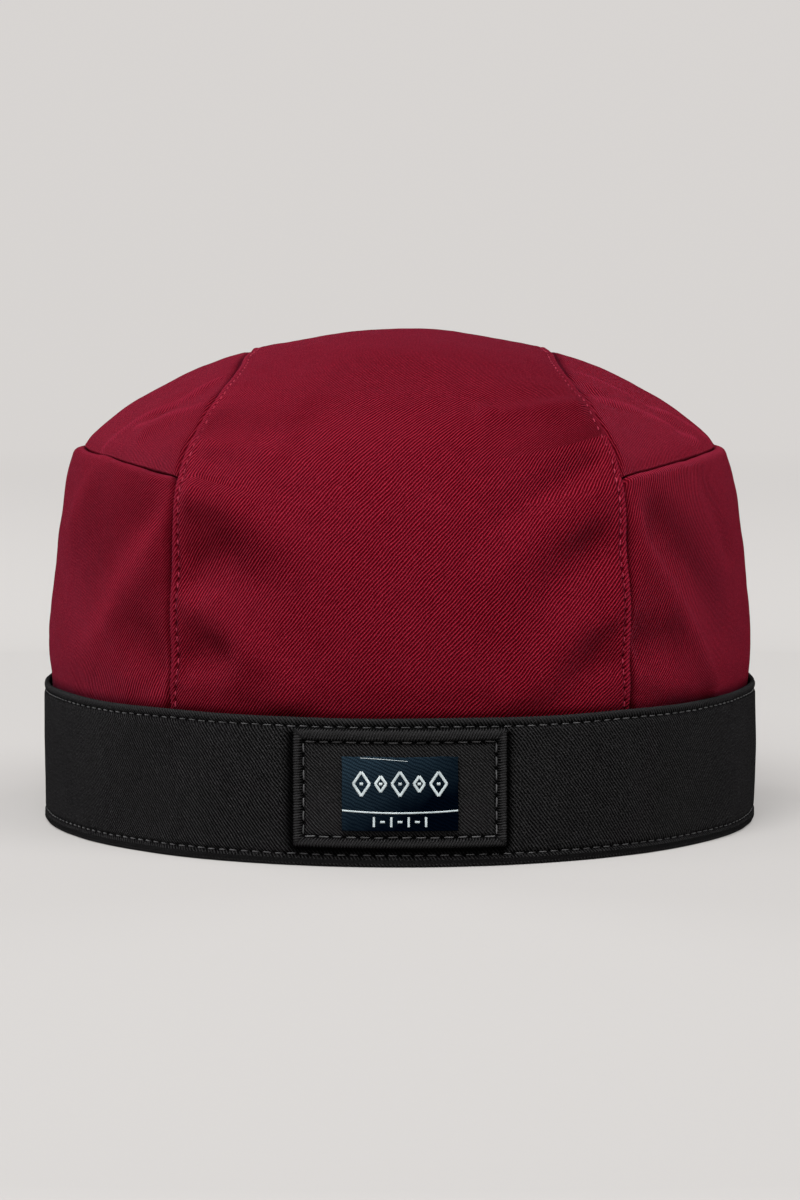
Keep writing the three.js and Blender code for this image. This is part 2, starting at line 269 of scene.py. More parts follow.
def bisect(is_low, low, high, rounds=45):
    """The place between low and high, for each entry, where is_low turns from true to false."""
    low, high = np.broadcast_arrays(np.array(low, float), np.array(high, float))
    for _ in range(rounds):
        middle = (low + high) / 2
        under = is_low(middle)
        low = np.where(under, middle, low)
        high = np.where(under, high, middle)
    return (low + high) / 2


def ripples(points, wavelength, seed, waves=16):
    """A smooth random field over the points, about -1 to 1, made of plane waves."""
    rng = np.random.default_rng(seed)
    directions = rng.normal(size=(waves, 3))
    directions /= np.linalg.norm(directions, axis=1)[:, None]
    numbers = 2 * np.pi / (wavelength * rng.uniform(0.7, 1.5, waves))
    phases = rng.uniform(0, 2 * np.pi, waves)
    field = np.zeros(points.shape[:-1])
    for direction, number, phase in zip(directions, numbers, phases):
        field += np.cos(points @ direction * number + phase)
    return field / math.sqrt(2 * waves)


# The crown's sections, from the cloth's lower edge to the top: half width, half length and height.
profile = smooth_line(
    [(OUTER_WIDTH - s.side, OUTER_LENGTH - s.front, s.height) for s in SECTIONS] + [(0, 0, CROWN_TOP)],
    after=(SECTIONS[-1].side - OUTER_WIDTH, SECTIONS[-1].front - OUTER_LENGTH, SECTIONS[-1].height),
)
profile[:, 2] = np.maximum.accumulate(profile[:, 2])
profile_levels = lengths_along(profile * [0.5, 0.5, 1])

strip_line = smooth_line([(s.along, s.half) for s in STRIP_WIDTHS], samples=40)


def section(level):
    return [np.interp(level, profile_levels, column) for column in profile.T]


def level_of(height):
    return float(np.interp(height, profile[:, 2], profile_levels))


def strip_half(along):
    return np.interp(np.abs(along), strip_line[:, 0], strip_line[:, 1])


def dip_at(height):
    rise = np.clip((height - CREST) / (CROWN_TOP - CREST), 0, 1)
    return np.where(height < CREST, DIP * smoothstep(height, WALL_TOP, CREST), DIP * (1 - rise * rise))


def crown_at(azimuth, level):
    """Places on the crown's smooth surface: x, y, z, azimuth in degrees and section height."""
    half_width, half_length, height = section(level)
    x = half_width * np.sin(azimuth)
    y = -half_length * np.cos(azimuth)
    z = height - dip_at(height) * np.abs(np.cos(azimuth)) ** DIP_POWER
    return np.stack(np.broadcast_arrays(x, y, z, np.degrees(azimuth), height), -1)


def crown_over(x, y):
    """Places on the crown's smooth surface above points in plan."""
    def too_low(level):
        half_width, half_length, _ = section(level)
        return (x / half_width) ** 2 + (y / half_length) ** 2 < 1

    level = bisect(too_low, np.full_like(x, level_of(WALL_TOP)), profile_levels[-1] * (1 - 1e-6))
    half_width, half_length, _ = section(level)
    return crown_at(np.arctan2(x / half_width, -y / half_length), level)


def fold_depth(places, panel):
    """How deep a panel's folds press it in at places on it."""
    across = np.radians(places[..., 3]) * FOLD_RADIUS
    height = places[..., 4]
    depth = np.zeros_like(across)
    for fold in map(Fold._make, FOLDS[panel]):
        start = np.array([math.radians(fold.azimuth) * FOLD_RADIUS, fold.height])
        run = np.array([math.radians(fold.to_azimuth) * FOLD_RADIUS, fold.to_height]) - start
        length = math.hypot(*run)
        ahead = ((across - start[0]) * run[0] + (height - start[1]) * run[1]) / length
        aside = ((height - start[1]) * run[0] - (across - start[0]) * run[1]) / length
        share = np.clip(ahead / length, 0, 1)
        away = np.hypot(aside - 4 * fold.bow * share * (1 - share), ahead - share * length)
        width = fold.width + (fold.to_width - fold.width) * share
        depth += (fold.depth + (fold.to_depth - fold.depth) * share) * bell(away, 0, width)
    return depth * smoothstep(height, BAND_HEIGHT - 1, BAND_HEIGHT + 4)


# ---- grids of cloth

def unit(vectors):
    return vectors / np.maximum(np.linalg.norm(vectors, axis=-1, keepdims=True), 1e-12)


def grid_normals(points):
    """Outward directions of a grid whose rows go up and whose columns go right, seen from outside."""
    return unit(np.cross(np.gradient(points, axis=1), np.gradient(points, axis=0)))


def crossing_sine(rows, end):
    """Sine of the angle between each row and the line through the rows' ends."""
    ends = rows[:, end, :3]
    beside = rows[:, 1 if end == 0 else -2, :3]
    along = unit(np.gradient(ends, axis=0))
    return np.clip(np.linalg.norm(np.cross(unit(beside - ends), along), axis=1), 0.5, 1)


Grid = namedtuple("Grid", "places normals from_left from_right")


def lay_columns(rows, left_steps, right_steps, spacing):
    """Grids a panel whose rows are dense lines over the crown. Steps are distances from the seam at each
    end, the first one where the row starts, and the rest of the row has even columns."""
    lengths = lengths_along(rows[..., :3])
    left_sine, right_sine = crossing_sine(rows, 0), crossing_sine(rows, -1)
    left, right = left_steps - left_steps[0], right_steps - right_steps[0]
    inner = int((lengths[:, -1].max() - left[-1] - right[-1]) / spacing)
    places, from_left, from_right = [], [], []
    for row, length, sine_left, sine_right in zip(rows, lengths, left_sine, right_sine):
        room = 0.45 * length[-1]
        near = left * min(1 / sine_left, room / left[-1])
        far = length[-1] - right * min(1 / sine_right, room / right[-1])
        middle = np.linspace(near[-1], far[-1], inner + 2)[1:-1]
        at = np.concatenate([near, middle, far[::-1]])
        places.append(np.stack([np.interp(at, length, column) for column in row.T], -1))
        from_left.append(at * sine_left + left_steps[0])
        from_right.append((length[-1] - at) * sine_right + right_steps[0])
    places = np.array(places)
    return Grid(places, grid_normals(places[..., :3]), np.array(from_left), np.array(from_right))


def numbered(rows, columns):
    """The numbers of a grid's points."""
    return np.arange(rows * columns).reshape(rows, columns)


def quads(corner):
    """Faces between the neighbouring rows and columns of a grid of point numbers."""
    around = [corner[:-1, :-1], corner[:-1, 1:], corner[1:, 1:], corner[1:, :-1]]
    return np.stack(around, -1).reshape(-1, 4)


def shell(outer, inner):
    """Points and faces of the closed wall between two grids of the same size."""
    outside = numbered(*outer.shape[:2])
    inside = outside + outside.size
    rims = [
        (inside[0], outside[0]), (outside[-1], inside[-1]),
        (outside[:, 0], inside[:, 0]), (inside[:, -1], outside[:, -1]),
    ]
    faces = [quads(outside), quads(inside)[:, ::-1], *(quads(np.stack(rim)) for rim in rims)]
    return np.vstack([outer.reshape(-1, 3), inner.reshape(-1, 3)]), np.vstack(faces)


def smooth_mesh(name, points, faces, material):
    mesh = bpy.data.meshes.new(name)
    mesh.from_pydata((points * MM).tolist(), [], faces)
    mesh.shade_smooth()
    mesh.materials.append(material)
    return mesh


def add_object(name, data):
    made = bpy.data.objects.new(name, data)
    bpy.context.scene.collection.objects.link(made)
    return made


def piece(name, points, faces, material, maps=None, wear=None):
    """A smooth mesh object from points in millimetres. UV maps and the attribute that paints light, shade
    and some wear have a value for each point.
    """
    mesh = smooth_mesh(name, points + CENTRE, faces.tolist(), material)
    if maps:
        for map_name, coordinates in maps.items():
            layer = mesh.uv_layers.new(name=map_name)
            layer.uv.foreach_set("vector", coordinates[faces.ravel()].astype(np.float32).ravel())
        attribute = mesh.attributes.new("Wear", "FLOAT", "POINT")
        attribute.data.foreach_set("value", wear.astype(np.float32).ravel())
    made = add_object(name, mesh)
    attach(made, "root")
    return made


def cloth_maps(across, along, twill_angle):
    """UV maps in millimetres: the cloth's own threads, and the same turned to run across its twill."""
    angle = np.radians(np.ravel(twill_angle))
    cloth = np.stack([across.ravel(), along.ravel()], -1)
    turned = np.stack([
        cloth[:, 0] * np.sin(angle) - cloth[:, 1] * np.cos(angle),
        cloth[:, 0] * np.cos(angle) + cloth[:, 1] * np.sin(angle),
    ], -1)
    return {"Cloth": cloth, "Twill": turned}


Weave = namedtuple("Weave", "across along twill_angle wear")


def cloth_panel(name, places, normals, outer, inner, weave, material):
    """A wall of cloth between two depths along a grid's normals. Both faces have the same weave, and only
    the outer one gets painted highlight, painted shade and wear."""
    middle = places[..., :3]
    points, faces = shell(middle + normals * outer[..., None], middle + normals * inner[..., None])
    maps = cloth_maps(weave.across, weave.along, weave.twill_angle)
    maps = {key: np.vstack([face, face]) for key, face in maps.items()}
    wear = np.concatenate([weave.wear.ravel(), np.zeros(weave.wear.size)])
    return piece(name, points, faces, material, maps, wear)


# ---- stitches

STITCH_SIDES, STITCH_RINGS = 6, 8
Thread = namedtuple("Thread", "radius gap sink rise")
SEAM_THREAD = Thread(radius=0.17, gap=0.75, sink=0.3, rise=0.12)
BAND_THREAD = Thread(radius=0.16, gap=0.34, sink=0.34, rise=0.1)
PATCH_THREAD = Thread(radius=0.18, gap=0.42, sink=0.34, rise=0.15)
JUST_WHOLE = 0.9999  # keeps a row's last stitch when its length is a whole number of pitches


def swing(along, pitch):
    """A wave from 1 to -1 and back in each pitch."""
    return np.cos(2 * np.pi * along / pitch)


def stitch_template(length, thread):
    """One stitch of two twisted plies that dips into the cloth at both ends, along X with Z out."""
    share = np.linspace(-1, 1, STITCH_RINGS)[:, None]
    turn = np.linspace(0, 2 * np.pi, STITCH_SIDES, endpoint=False)[None, :]
    swell = np.sqrt(np.clip(1 - np.abs(share) ** 5, 0.02, 1))
    twist = share * length * 2.2
    radius = thread.radius * swell * (1 + 0.22 * np.cos(2 * (turn - twist)))
    x = share * length / 2 + 0 * turn
    lift = thread.rise * (1 - share ** 2) - thread.sink * share ** 4
    return np.stack([x, radius * np.sin(turn), lift + radius * np.cos(turn)], -1)


def stitch_faces():
    rings = numbered(STITCH_RINGS, STITCH_SIDES)
    sides = quads(np.hstack([rings, rings[:, :1]]).T)
    fan = np.array([[0, 1, 2, 3], [0, 3, 4, 5]])
    return np.vstack([sides, rings[0][fan], rings[-1][fan][:, ::-1]])


def stitch_row(name, path, normals, pitch, thread, material, seed):
    """Stitches along a line on the cloth, a hole at each whole pitch from its start."""
    rng = np.random.default_rng(seed)
    along = lengths_along(path)
    holes = np.arange(int(along[-1] / pitch) + 1) * pitch
    ends = np.stack([np.interp(holes, along, column) for column in path.T], -1)
    out = unit(np.stack([np.interp(holes[:-1] + pitch / 2, along, column) for column in normals.T], -1))
    middle = (ends[1:] + ends[:-1]) / 2
    forward = unit(ends[1:] - ends[:-1])
    sideways = unit(np.cross(out, forward))
    forward = unit(forward + sideways * rng.normal(0, 0.035, (len(middle), 1)))
    sideways = unit(np.cross(out, forward))
    middle = middle + sideways * rng.normal(0, 0.04, (len(middle), 1))
    shape = stitch_template(pitch - thread.gap, thread)
    size = rng.uniform(0.93, 1.06, (len(middle), 1, 1))
    points = (
        middle[:, None, None]
        + forward[:, None, None] * (shape[None, ..., 0] * size)[..., None]
        + sideways[:, None, None] * shape[None, ..., 1, None]
        + out[:, None, None] * shape[None, ..., 2, None]
    )
    first = STITCH_RINGS * STITCH_SIDES * np.arange(len(middle))[:, None, None]
    return piece(name, points.reshape(-1, 3), (stitch_faces()[None] + first).reshape(-1, 4), material)


# ---- materials

class Value:
    """An output socket in a material. Arithmetic with it makes maths nodes."""

    def __init__(self, shader, socket):
        self.shader, self.socket = shader, socket

    def math(self, operation, other=None):
        return self.shader.add("Math", self, other, operation=operation)

    __add__ = partialmethod(math, "ADD")
    __sub__ = partialmethod(math, "SUBTRACT")
    __mul__ = partialmethod(math, "MULTIPLY")
    __truediv__ = partialmethod(math, "DIVIDE")
    __pow__ = partialmethod(math, "POWER")

    def humps(self, pitch):
        """A rounded hump from 0 to 1 and back in each pitch."""
        return (self * (math.pi / pitch)).math("SINE").math("ABSOLUTE")


class Shader:
    """Builds one material's nodes. Each method returns a value that other nodes can take."""

    def __init__(
        self, name, color, roughness, specular, sheen=0.0, sheen_tint=(1, 1, 1), sheen_roughness=0.5,
    ):
        self.material = bpy.data.materials.new(name)
        self.material.use_nodes = True
        self.tree = self.material.node_tree
        self.surface = self.tree.nodes["Principled BSDF"].inputs
        for key, value in (
            ("Base Color", color), ("Roughness", roughness), ("Specular IOR Level", specular),
            ("Sheen Weight", sheen), ("Sheen Tint", sheen_tint), ("Sheen Roughness", sheen_roughness),
        ):
            self.feed(key, value)

    def feed(self, key, value, inputs=None):
        """Links or sets an input, of the surface unless others are given."""
        socket = (self.surface if inputs is None else inputs)[key]
        if isinstance(value, Value):
            self.tree.links.new(value.socket, socket)
        elif isinstance(value, tuple) and socket.type == "RGBA":
            socket.default_value = (*value, 1)
        elif value is not None:
            socket.default_value = value

    def node(self, kind, values, **settings):
        """A new node, with values for its inputs by number or name."""
        made = self.tree.nodes.new("ShaderNode" + kind)
        for key, value in settings.items():
            setattr(made, key, value)
        for key, value in values:
            self.feed(key, value, made.inputs)
        return made

    def add(self, kind, *values, out=0, **settings):
        """One output of a new node, with values for its inputs in order."""
        return Value(self, self.node(kind, enumerate(values), **settings).outputs[out])

    def uv(self, name):
        return self.add("UVMap", uv_map=name)

    def place(self):
        """The place on the object, in metres."""
        return self.add("TexCoord", out="Object")

    def split(self, vector):
        return [Value(self, socket) for socket in self.node("SeparateXYZ", [(0, vector)]).outputs]

    def scaled(self, vector, size):
        return self.add("VectorMath", vector, size, operation="MULTIPLY")

    def noise(self, vector, scale, detail=2.0, roughness=0.5):
        values = [("Vector", vector), ("Scale", scale), ("Detail", detail), ("Roughness", roughness)]
        return Value(self, self.node("TexNoise", values).outputs["Fac"])

    def spread(self, factor, low, high, to_low=0.0, to_high=1.0):
        return self.add("MapRange", factor, low, high, to_low, to_high)

    def mix(self, factor, first, second):
        """A colour between two. A mix node's colours are its inputs 6 and 7 and its output 2."""
        made = self.node("Mix", [(0, factor), (6, first), (7, second)], data_type="RGBA")
        return Value(self, made.outputs[2])

    def finish(self, color, height, depth):
        """Gives the surface its colour and a relief of a depth in millimetres."""
        self.feed("Base Color", color)
        bump = self.node("Bump", [("Strength", 1.0), ("Distance", depth * MM), ("Height", height)])
        self.feed("Normal", Value(self, bump.outputs[0]))
        return self.material


def twill(name, ridge, trough, crest, worn_and_highlight, pitch, depth, streak, grain, **surface):
    """A twill weave: diagonal ridges with a bright crest and dark lines between, broken into floats. The
    crest's brightness is a painted highlight, and the dark lines are partly the weave's own look and partly
    painted shade of its grooves. Where the point attribute is above zero the cloth is painted lighter,
    mostly a painted highlight with some rubbing, and where it is below zero it is painted darker, painted
    shade.
    """
    made = Shader(name, ridge, **surface)
    across, along, _ = made.split(made.uv("Twill"))
    cloth = made.uv("Cloth")
    wear = made.add("Attribute", attribute_name="Wear", out="Fac")
    phase = (across + (made.noise(cloth, 0.16, 3.0) - 0.5) * 0.9) / pitch
    ridges = made.spread((phase * (2 * math.pi)).math("COSINE"), -1.0, 1.0)
    floats = (along / (pitch * 0.8) + phase.math("FLOOR") * 0.37).humps(1) ** 0.5
    lifted = ridges * made.spread(floats, 0.0, 1.0, 0.72, 1.0)
    warp = made.noise(made.scaled(cloth, (2.6, 0.22, 1)), 1.0, 3.0)
    weft = made.noise(made.scaled(cloth, (0.25, 2.2, 1)), 1.0, 3.0)
    threads = warp * 0.5 + weft * 0.5
    fuzz = made.noise(cloth, 2.5, 3.0, 0.75)
    patches = made.noise(cloth, 0.055, 4.0, 0.55)
    blotches = made.noise(cloth, 0.9, 3.0, 0.6)
    # Ridges lighter and the lines between darker: partly the weave's own look, partly painted shade of its
    # grooves.
    shade = made.mix(lifted, trough, ridge)
    # A painted highlight along the top of each ridge.
    shade = made.mix(lifted ** 7.0, shade, crest)
    for factor, low, high, most, tint in (
        (threads, 0.35, 0.65, streak, trough),
        (patches, 0.3, 0.7, 0.12, worn_and_highlight),
        (blotches, 0.35, 0.65, 0.2, trough),
        (fuzz, 0.52, 0.72, grain, crest),
        # Above zero the point attribute lightens: mostly painted highlight, also rubbing and own tone.
        # Below zero it darkens: painted shade.
        (wear, 0.0, 1.0, 1.0, worn_and_highlight),
        (wear, 0.0, -1.0, 0.85, trough),
    ):
        shade = made.mix(made.spread(factor, low, high, 0.0, most), shade, tint)
    return made.finish(shade, lifted + threads * 0.45 + fuzz * 0.2, depth)


def thread_material(name, color, dark):
    """Spun sewing thread: fine fibres and slight changes of tone."""
    made = Shader(name, color, roughness=0.8, specular=0.04, sheen=0.02, sheen_tint=color)
    place = made.place()
    fibres = made.noise(place, 5200.0)
    base = made.mix(made.spread(made.noise(place, 420.0), 0.3, 0.7), dark, color)
    return made.finish(made.mix(made.spread(fibres, 0.45, 0.7, 0.0, 0.5), base, dark), fibres, 0.03)


def label_material(name):
    """Damask weave of a woven label, with painted light and shade: navy at its upper left, nearly black at
    its lower right.
    """
    made = Shader(name, (0.01, 0.02, 0.03), roughness=0.8, specular=0.0)
    cloth = made.uv("Cloth")
    across, along, _ = made.split(cloth)
    rows = (across * 0.45 + (along + made.noise(cloth, 0.5))).humps(0.8)
    picks = (across - along * 0.6).humps(0.5)
    weave = rows * made.spread(picks, 0.0, 1.0, 0.45, 1.0)
    # Painted light and shade: lighter towards the upper left, darker towards the lower right.
    fade = across * 0.022 + along * -0.04 + made.noise(cloth, 0.2, 3.0) * 0.35
    ground = made.mix(made.spread(fade, -0.3, 0.42), (0.016, 0.030, 0.043), (0.0001, 0.0006, 0.002))
    woven = made.mix(made.spread(weave, 0.1, 0.9, 0.75, 0.0), ground, (0.0005, 0.002, 0.005))
    return made.finish(woven, weave, 0.05)


def floor_material():
    """Pale floor that goes over into an evenly lit wall."""
    made = Shader("pale_floor", (0.28, 0.272, 0.266), roughness=0.9, specular=0.0)
    place = made.place()
    away = made.add("VectorMath", made.scaled(place, (1, 1, 0)), operation="LENGTH", out="Value")
    lit = made.spread(away, 0.45, 1.9)
    back = made.spread(made.split(place)[1], -0.45, 0.45)
    tone = made.mix(back, (0.206, 0.2, 0.196), (0.29, 0.282, 0.275))
    made.feed("Emission Color", (1.0, 0.965, 0.94))
    made.feed("Emission Strength", made.spread(lit ** 0.65, 0.0, 1.0, 0.27, 0.67))
    return made.finish(made.mix(lit, tone, (0.02, 0.02, 0.02)), made.noise(place, 240.0, 4.0), 0.05)


crimson = twill(
    "crimson_twill",
    ridge=(0.238, 0.0015, 0.0092), trough=(0.025, 0.0001, 0.0012),
    crest=(0.322, 0.033, 0.063), worn_and_highlight=(0.202, 0.011, 0.0275),
    pitch=0.645, depth=0.25, streak=0.28, grain=0.3,
    roughness=0.95, specular=0.0, sheen=0.045, sheen_tint=(1, 0.32, 0.6), sheen_roughness=0.25,
)
black = twill(
    "black_twill",
    ridge=(0.0122, 0.0119, 0.0122), trough=(0.0001, 0.0001, 0.0001),
    crest=(0.066, 0.0645, 0.066), worn_and_highlight=(0.027, 0.0265, 0.027),
    pitch=0.6, depth=0.28, streak=0.6, grain=0.5,
    roughness=0.95, specular=0.0, sheen=0.004, sheen_tint=(0.9, 0.9, 1),
)
crimson_thread = thread_material("crimson_thread", (0.34, 0.035, 0.065), (0.15, 0.008, 0.02))
grey_thread = thread_material("grey_thread", (0.105, 0.104, 0.106), (0.045, 0.045, 0.046))
white_thread = thread_material("white_thread", (0.54, 0.6, 0.61), (0.33, 0.38, 0.39))
navy = label_material("navy_label")


# ---- crown

# Distances from the panels' edges at which their grids have lines, closest where the relief is finest.
STRIP_EDGE = np.array([
    0, 0.08, 0.2, 0.38, 0.62, 0.9, 1.15, 1.35, 1.52, 1.7, 1.88, 2.05, 2.3, 2.7, 3.3, 4.1, 5.1, 6.3, 7.6,
])
FLANK_EDGE = np.array([
    -TUCK, -0.7, -0.1, 0.15, 0.3, 0.46, 0.62, 0.8, 1.05, 1.4, 1.9, 2.6, 3.4, 4.4, 5.6,
])
SHOULDER_EDGE = np.array([0.06, 0.11, 0.18, 0.27, 0.38, 0.5, 0.66, 0.88, 1.2, 1.6, 2.1, 2.8, 3.6, 4.6])
DENSE = np.linspace(-1, 1, 321)


def edge_roll(distance, radius=CROWN_CLOTH / 2):
    """How far the outer face drops where the cloth turns under at its edge."""
    return np.sqrt(np.clip(radius ** 2 - (radius - np.clip(distance, 0, radius)) ** 2, 0, None)) - radius


def seam_puckers(along, distance, length, seed, depth=0.3):
    """Short irregular creases that run out from a seam into the cloth."""
    rng = np.random.default_rng(seed)
    away = np.clip(distance, 0, None)
    field = np.zeros(np.broadcast(along, distance).shape)
    place = rng.uniform(2, 7)
    while place < length:
        width, reach = rng.uniform(1.4, 2.8), rng.uniform(3, 9)
        lean = rng.uniform(-0.5, 0.5)
        size = depth * rng.uniform(0.3, 1) * rng.choice([-1, 1], p=[0.6, 0.4])
        shape = (1 - np.exp(-away / 1.2)) * np.exp(-away / reach)
        field += size * bell(along + lean * distance, place, width) * shape
        place += rng.uniform(4, 11)
    return field


def crown_relief(places, panel, from_seam):
    """Folds and soft unevenness that every crown panel has, as a height along its normals. The long seams
    hold the cloth flatter."""
    surface = places[..., :3]
    low = smoothstep(places[..., 4], BAND_HEIGHT - 1, BAND_HEIGHT + 10)
    soft = 0.25 * ripples(surface, 34, RNG_SEED) + 0.12 * ripples(surface, 12, RNG_SEED + len(panel))
    soft = soft + 0.04 * ripples(surface, 5, RNG_SEED + 1)
    held = 1 - 0.7 * fade(from_seam, 0.5, 6)
    return soft * low - fold_depth(places, panel) * held


def slipped(across, along, grid, relief):
    """Cloth lengths across and along, moved where folds lift the cloth so that its weave runs on as
    straight lines over them when seen from the front."""
    facing = grid.normals @ FROM_FRONT
    slip = -relief * smoothstep(facing, 0.1, 0.5) / np.maximum(facing, 0.35)
    moved = []
    for lengths, axis in ((across, 1), (along, 0)):
        tangent = unit(np.gradient(grid.places[..., :3], axis=axis))
        moved.append(lengths + slip * (tangent @ FROM_FRONT))
    return moved


def hem_shade(places):
    """How dark the crown's cloth is painted just above the band that holds it: painted shade under the
    band's lip.
    """
    return 0.9 * fade(places[..., 4], BAND_HEIGHT + 0.4, BAND_HEIGHT + 1.7)


def hem_puckers(places, seed):
    """Small upright creases where the crown is gathered into the band."""
    around = np.radians(places[..., 3]) * FOLD_RADIUS
    above = places[..., 4] - BAND_HEIGHT
    start = around.min()
    creases = seam_puckers(around - start, above + 1, around.max() - start, seed, 0.35)
    return creases * smoothstep(above, -2, 2)


def over_shoulder(height):
    """From 0 to 1 where the long seams run over the shoulder and lie flatter."""
    return smoothstep(height, 84, 92)


def long_seam_relief(along, distance, height):
    """The strip's turned and topstitched edge, seen across it."""
    wave = swing(along, SEAM_STITCH["pitch"])
    flange = FLANGE - 0.2 * smoothstep(distance, 2.0, 3.4) - (FLANGE - 0.2) * smoothstep(distance, 5.5, 9)
    flange = flange * (1 - 0.6 * smoothstep(height, 90, 104))
    firm = 1 - 0.55 * over_shoulder(height)
    dimple = 0.5 * firm * (0.62 + 0.38 * wave) * bell(distance, SEAM_STITCH["inside"], 0.5)
    ribs = 0.08 * wave * bell(distance, 0.9, 0.8)
    low = smoothstep(height, BAND_HEIGHT - 1, BAND_HEIGHT + 6)
    return (flange - dimple + ribs) * (0.3 + 0.7 * low) * smoothstep(distance, 12, 9)


def hem_fullness(distance, height):
    """How much thicker the strip is where its turned-under edge fills the room over the flank's cloth."""
    ply = smoothstep(distance, 0.35, 1.0) * fade(distance, 3, 6)
    return 0.95 * ply * (1 - 0.6 * smoothstep(height, 98, 106))


def seam_azimuth(level):
    """Azimuth, to the right of the front, where the long seam crosses a section."""
    half_width, half_length, _ = section(level)
    return bisect(
        lambda azimuth: half_width * np.sin(azimuth) < strip_half(half_length * np.cos(azimuth)),
        np.zeros_like(level), np.pi / 2,
    )


def strip_rows():
    """Dense rows of the strip from its front edge, over the top, to its back edge."""
    turn = level_of(STRIP_TURN)
    levels = np.linspace(level_of(CROWN_LOW), turn, ROW_COUNT["strip_wall"], endpoint=False)
    wall = crown_at(seam_azimuth(levels)[:, None] * DENSE, levels[:, None])
    half_width, half_length, _ = section(turn)
    flat = np.linspace(1, 0, ROW_COUNT["strip_top"])[:, None]

    def arc(x):
        return half_length * np.sqrt(np.clip(1 - (x / half_width) ** 2, 0, 1))

    ends = bisect(lambda x: x < strip_half(flat * arc(x)), np.zeros_like(flat), half_width)
    x = ends * DENSE
    front = np.vstack([wall, crown_over(x, -flat * arc(x))])
    back = front[-2::-1].copy()
    back[..., 1] *= -1
    back[..., 3] = np.sign(back[..., 3]) * (180 - np.abs(back[..., 3]))
    return np.vstack([front, back])


def trimmed(path, normals, start):
    """A line and its normals from a distance along it onwards."""
    along = lengths_along(path)
    lines = []
    for line in (path, normals):
        first = [np.interp(start, along, column) for column in line.T]
        lines.append(np.vstack([first, line[along > start]]))
    return lines


def long_seam_stitches(side, path, normals, height, along, seed):
    """The topstitches along one edge of the strip, in step with the dimples of its relief."""
    path = path - 0.13 * normals * over_shoulder(height)[:, None]
    pitch = SEAM_STITCH["pitch"] * lengths_along(path)[-1] / np.ptp(along)
    path, normals = trimmed(path, normals, -along[0] % SEAM_STITCH["pitch"])
    name = f"long_seam_stitches_{side}"
    return stitch_row(name, path, normals, pitch, SEAM_THREAD, crimson_thread, seed)


def build_centre_panel():
    grid = lay_columns(strip_rows(), STRIP_EDGE, STRIP_EDGE, COLUMN_STEP["strip"])
    places, edge = grid.places, np.minimum(grid.from_left, grid.from_right)
    stitched = int(np.argmin(np.abs(STRIP_EDGE - SEAM_STITCH["inside"])))
    seams = (("left", stitched, grid.from_left), ("right", -1 - stitched, grid.from_right))
    relief = crown_relief(places, "strip", edge)
    height = relief + hem_puckers(places, SEED["strip_hem"])
    # Lighter along the turned edge, where it stands up: painted highlight, with some rubbing. Darker right
    # at the edge and just above the band: painted shade.
    wear = 0.35 * bell(edge, 0.75, 0.5) - 0.8 * bell(edge, 0, 0.12) - hem_shade(places)
    firm = 1 - 0.6 * over_shoulder(places[..., 4])
    for seed, (_, column, distance) in enumerate(seams, SEED["strip_seams"]):
        along = lengths_along(places[:, column, :3])[:, None]
        height += long_seam_relief(along, distance, places[..., 4])
        height += seam_puckers(along, distance, along.max(), seed)
        # Darker in the stitch dimples, most at the needle holes: painted shade.
        hole = (0.5 + 0.5 * swing(along, SEAM_STITCH["pitch"])) ** 3
        wear = wear - firm * (0.3 + hole) * bell(distance, SEAM_STITCH["inside"], 0.38)
    roll = edge_roll(edge)
    inner = height - CROWN_CLOTH - roll - hem_fullness(edge, places[..., 4])
    middle = places.shape[1] // 2
    centre_line = lengths_along(places[:, middle, :3])
    width = lengths_along(places[..., :3])
    across = width - width[:, middle:middle + 1]
    bow = WEAVE_BOW * np.clip(-places[:, middle, 1] / 70, -1, 1)[:, None]
    across, along = slipped(across, centre_line[:, None] + bow * across ** 2, grid, relief)
    weave = Weave(across, along, TWILL["strip"], wear)
    panel = cloth_panel("centre_panel_cloth", places, grid.normals, height + roll, inner, weave, crimson)
    rows = []
    for seed, (side, column, _) in enumerate(seams, SEED["seam_stitches"]):
        seen = places[:, column, 2] > BAND_HEIGHT - 1
        line, normals = places[seen, column], grid.normals[seen, column]
        path = line[:, :3] + normals * (height + roll)[seen, column, None]
        along = lengths_along(places[:, column, :3])[seen]
        rows.append(long_seam_stitches(side, path, normals, line[:, 4], along, seed))
    return panel, rows


def on_side(places, side):
    """Right-hand places as they are, or mirrored to the left with their columns running right again."""
    if side == "right":
        return places
    return places[:, ::-1] * np.array([-1, 1, 1, -1, 1])


def flank_tuck(distance, height):
    """How a flank panel's cloth drops to run on under the strip, less so towards the top."""
    drop = 1.2 * fade(distance, 0.5, 2.2) + 0.3 * fade(distance, 1.0, 6)
    return -drop * (1 - 0.75 * smoothstep(height, 93, 105))


def tuck_shade(distance):
    """How dark a flank panel's cloth is painted where it runs under the strip: painted shade."""
    return 0.9 * fade(distance, 0.5, 1.5) + 0.4 * fade(distance, 1.0, 2.8)


def shoulder_shade(distance):
    """How dark the cloth is painted in the groove of the shoulder seam: painted shade."""
    return 0.7 * fade(distance, 0.02, 0.2)


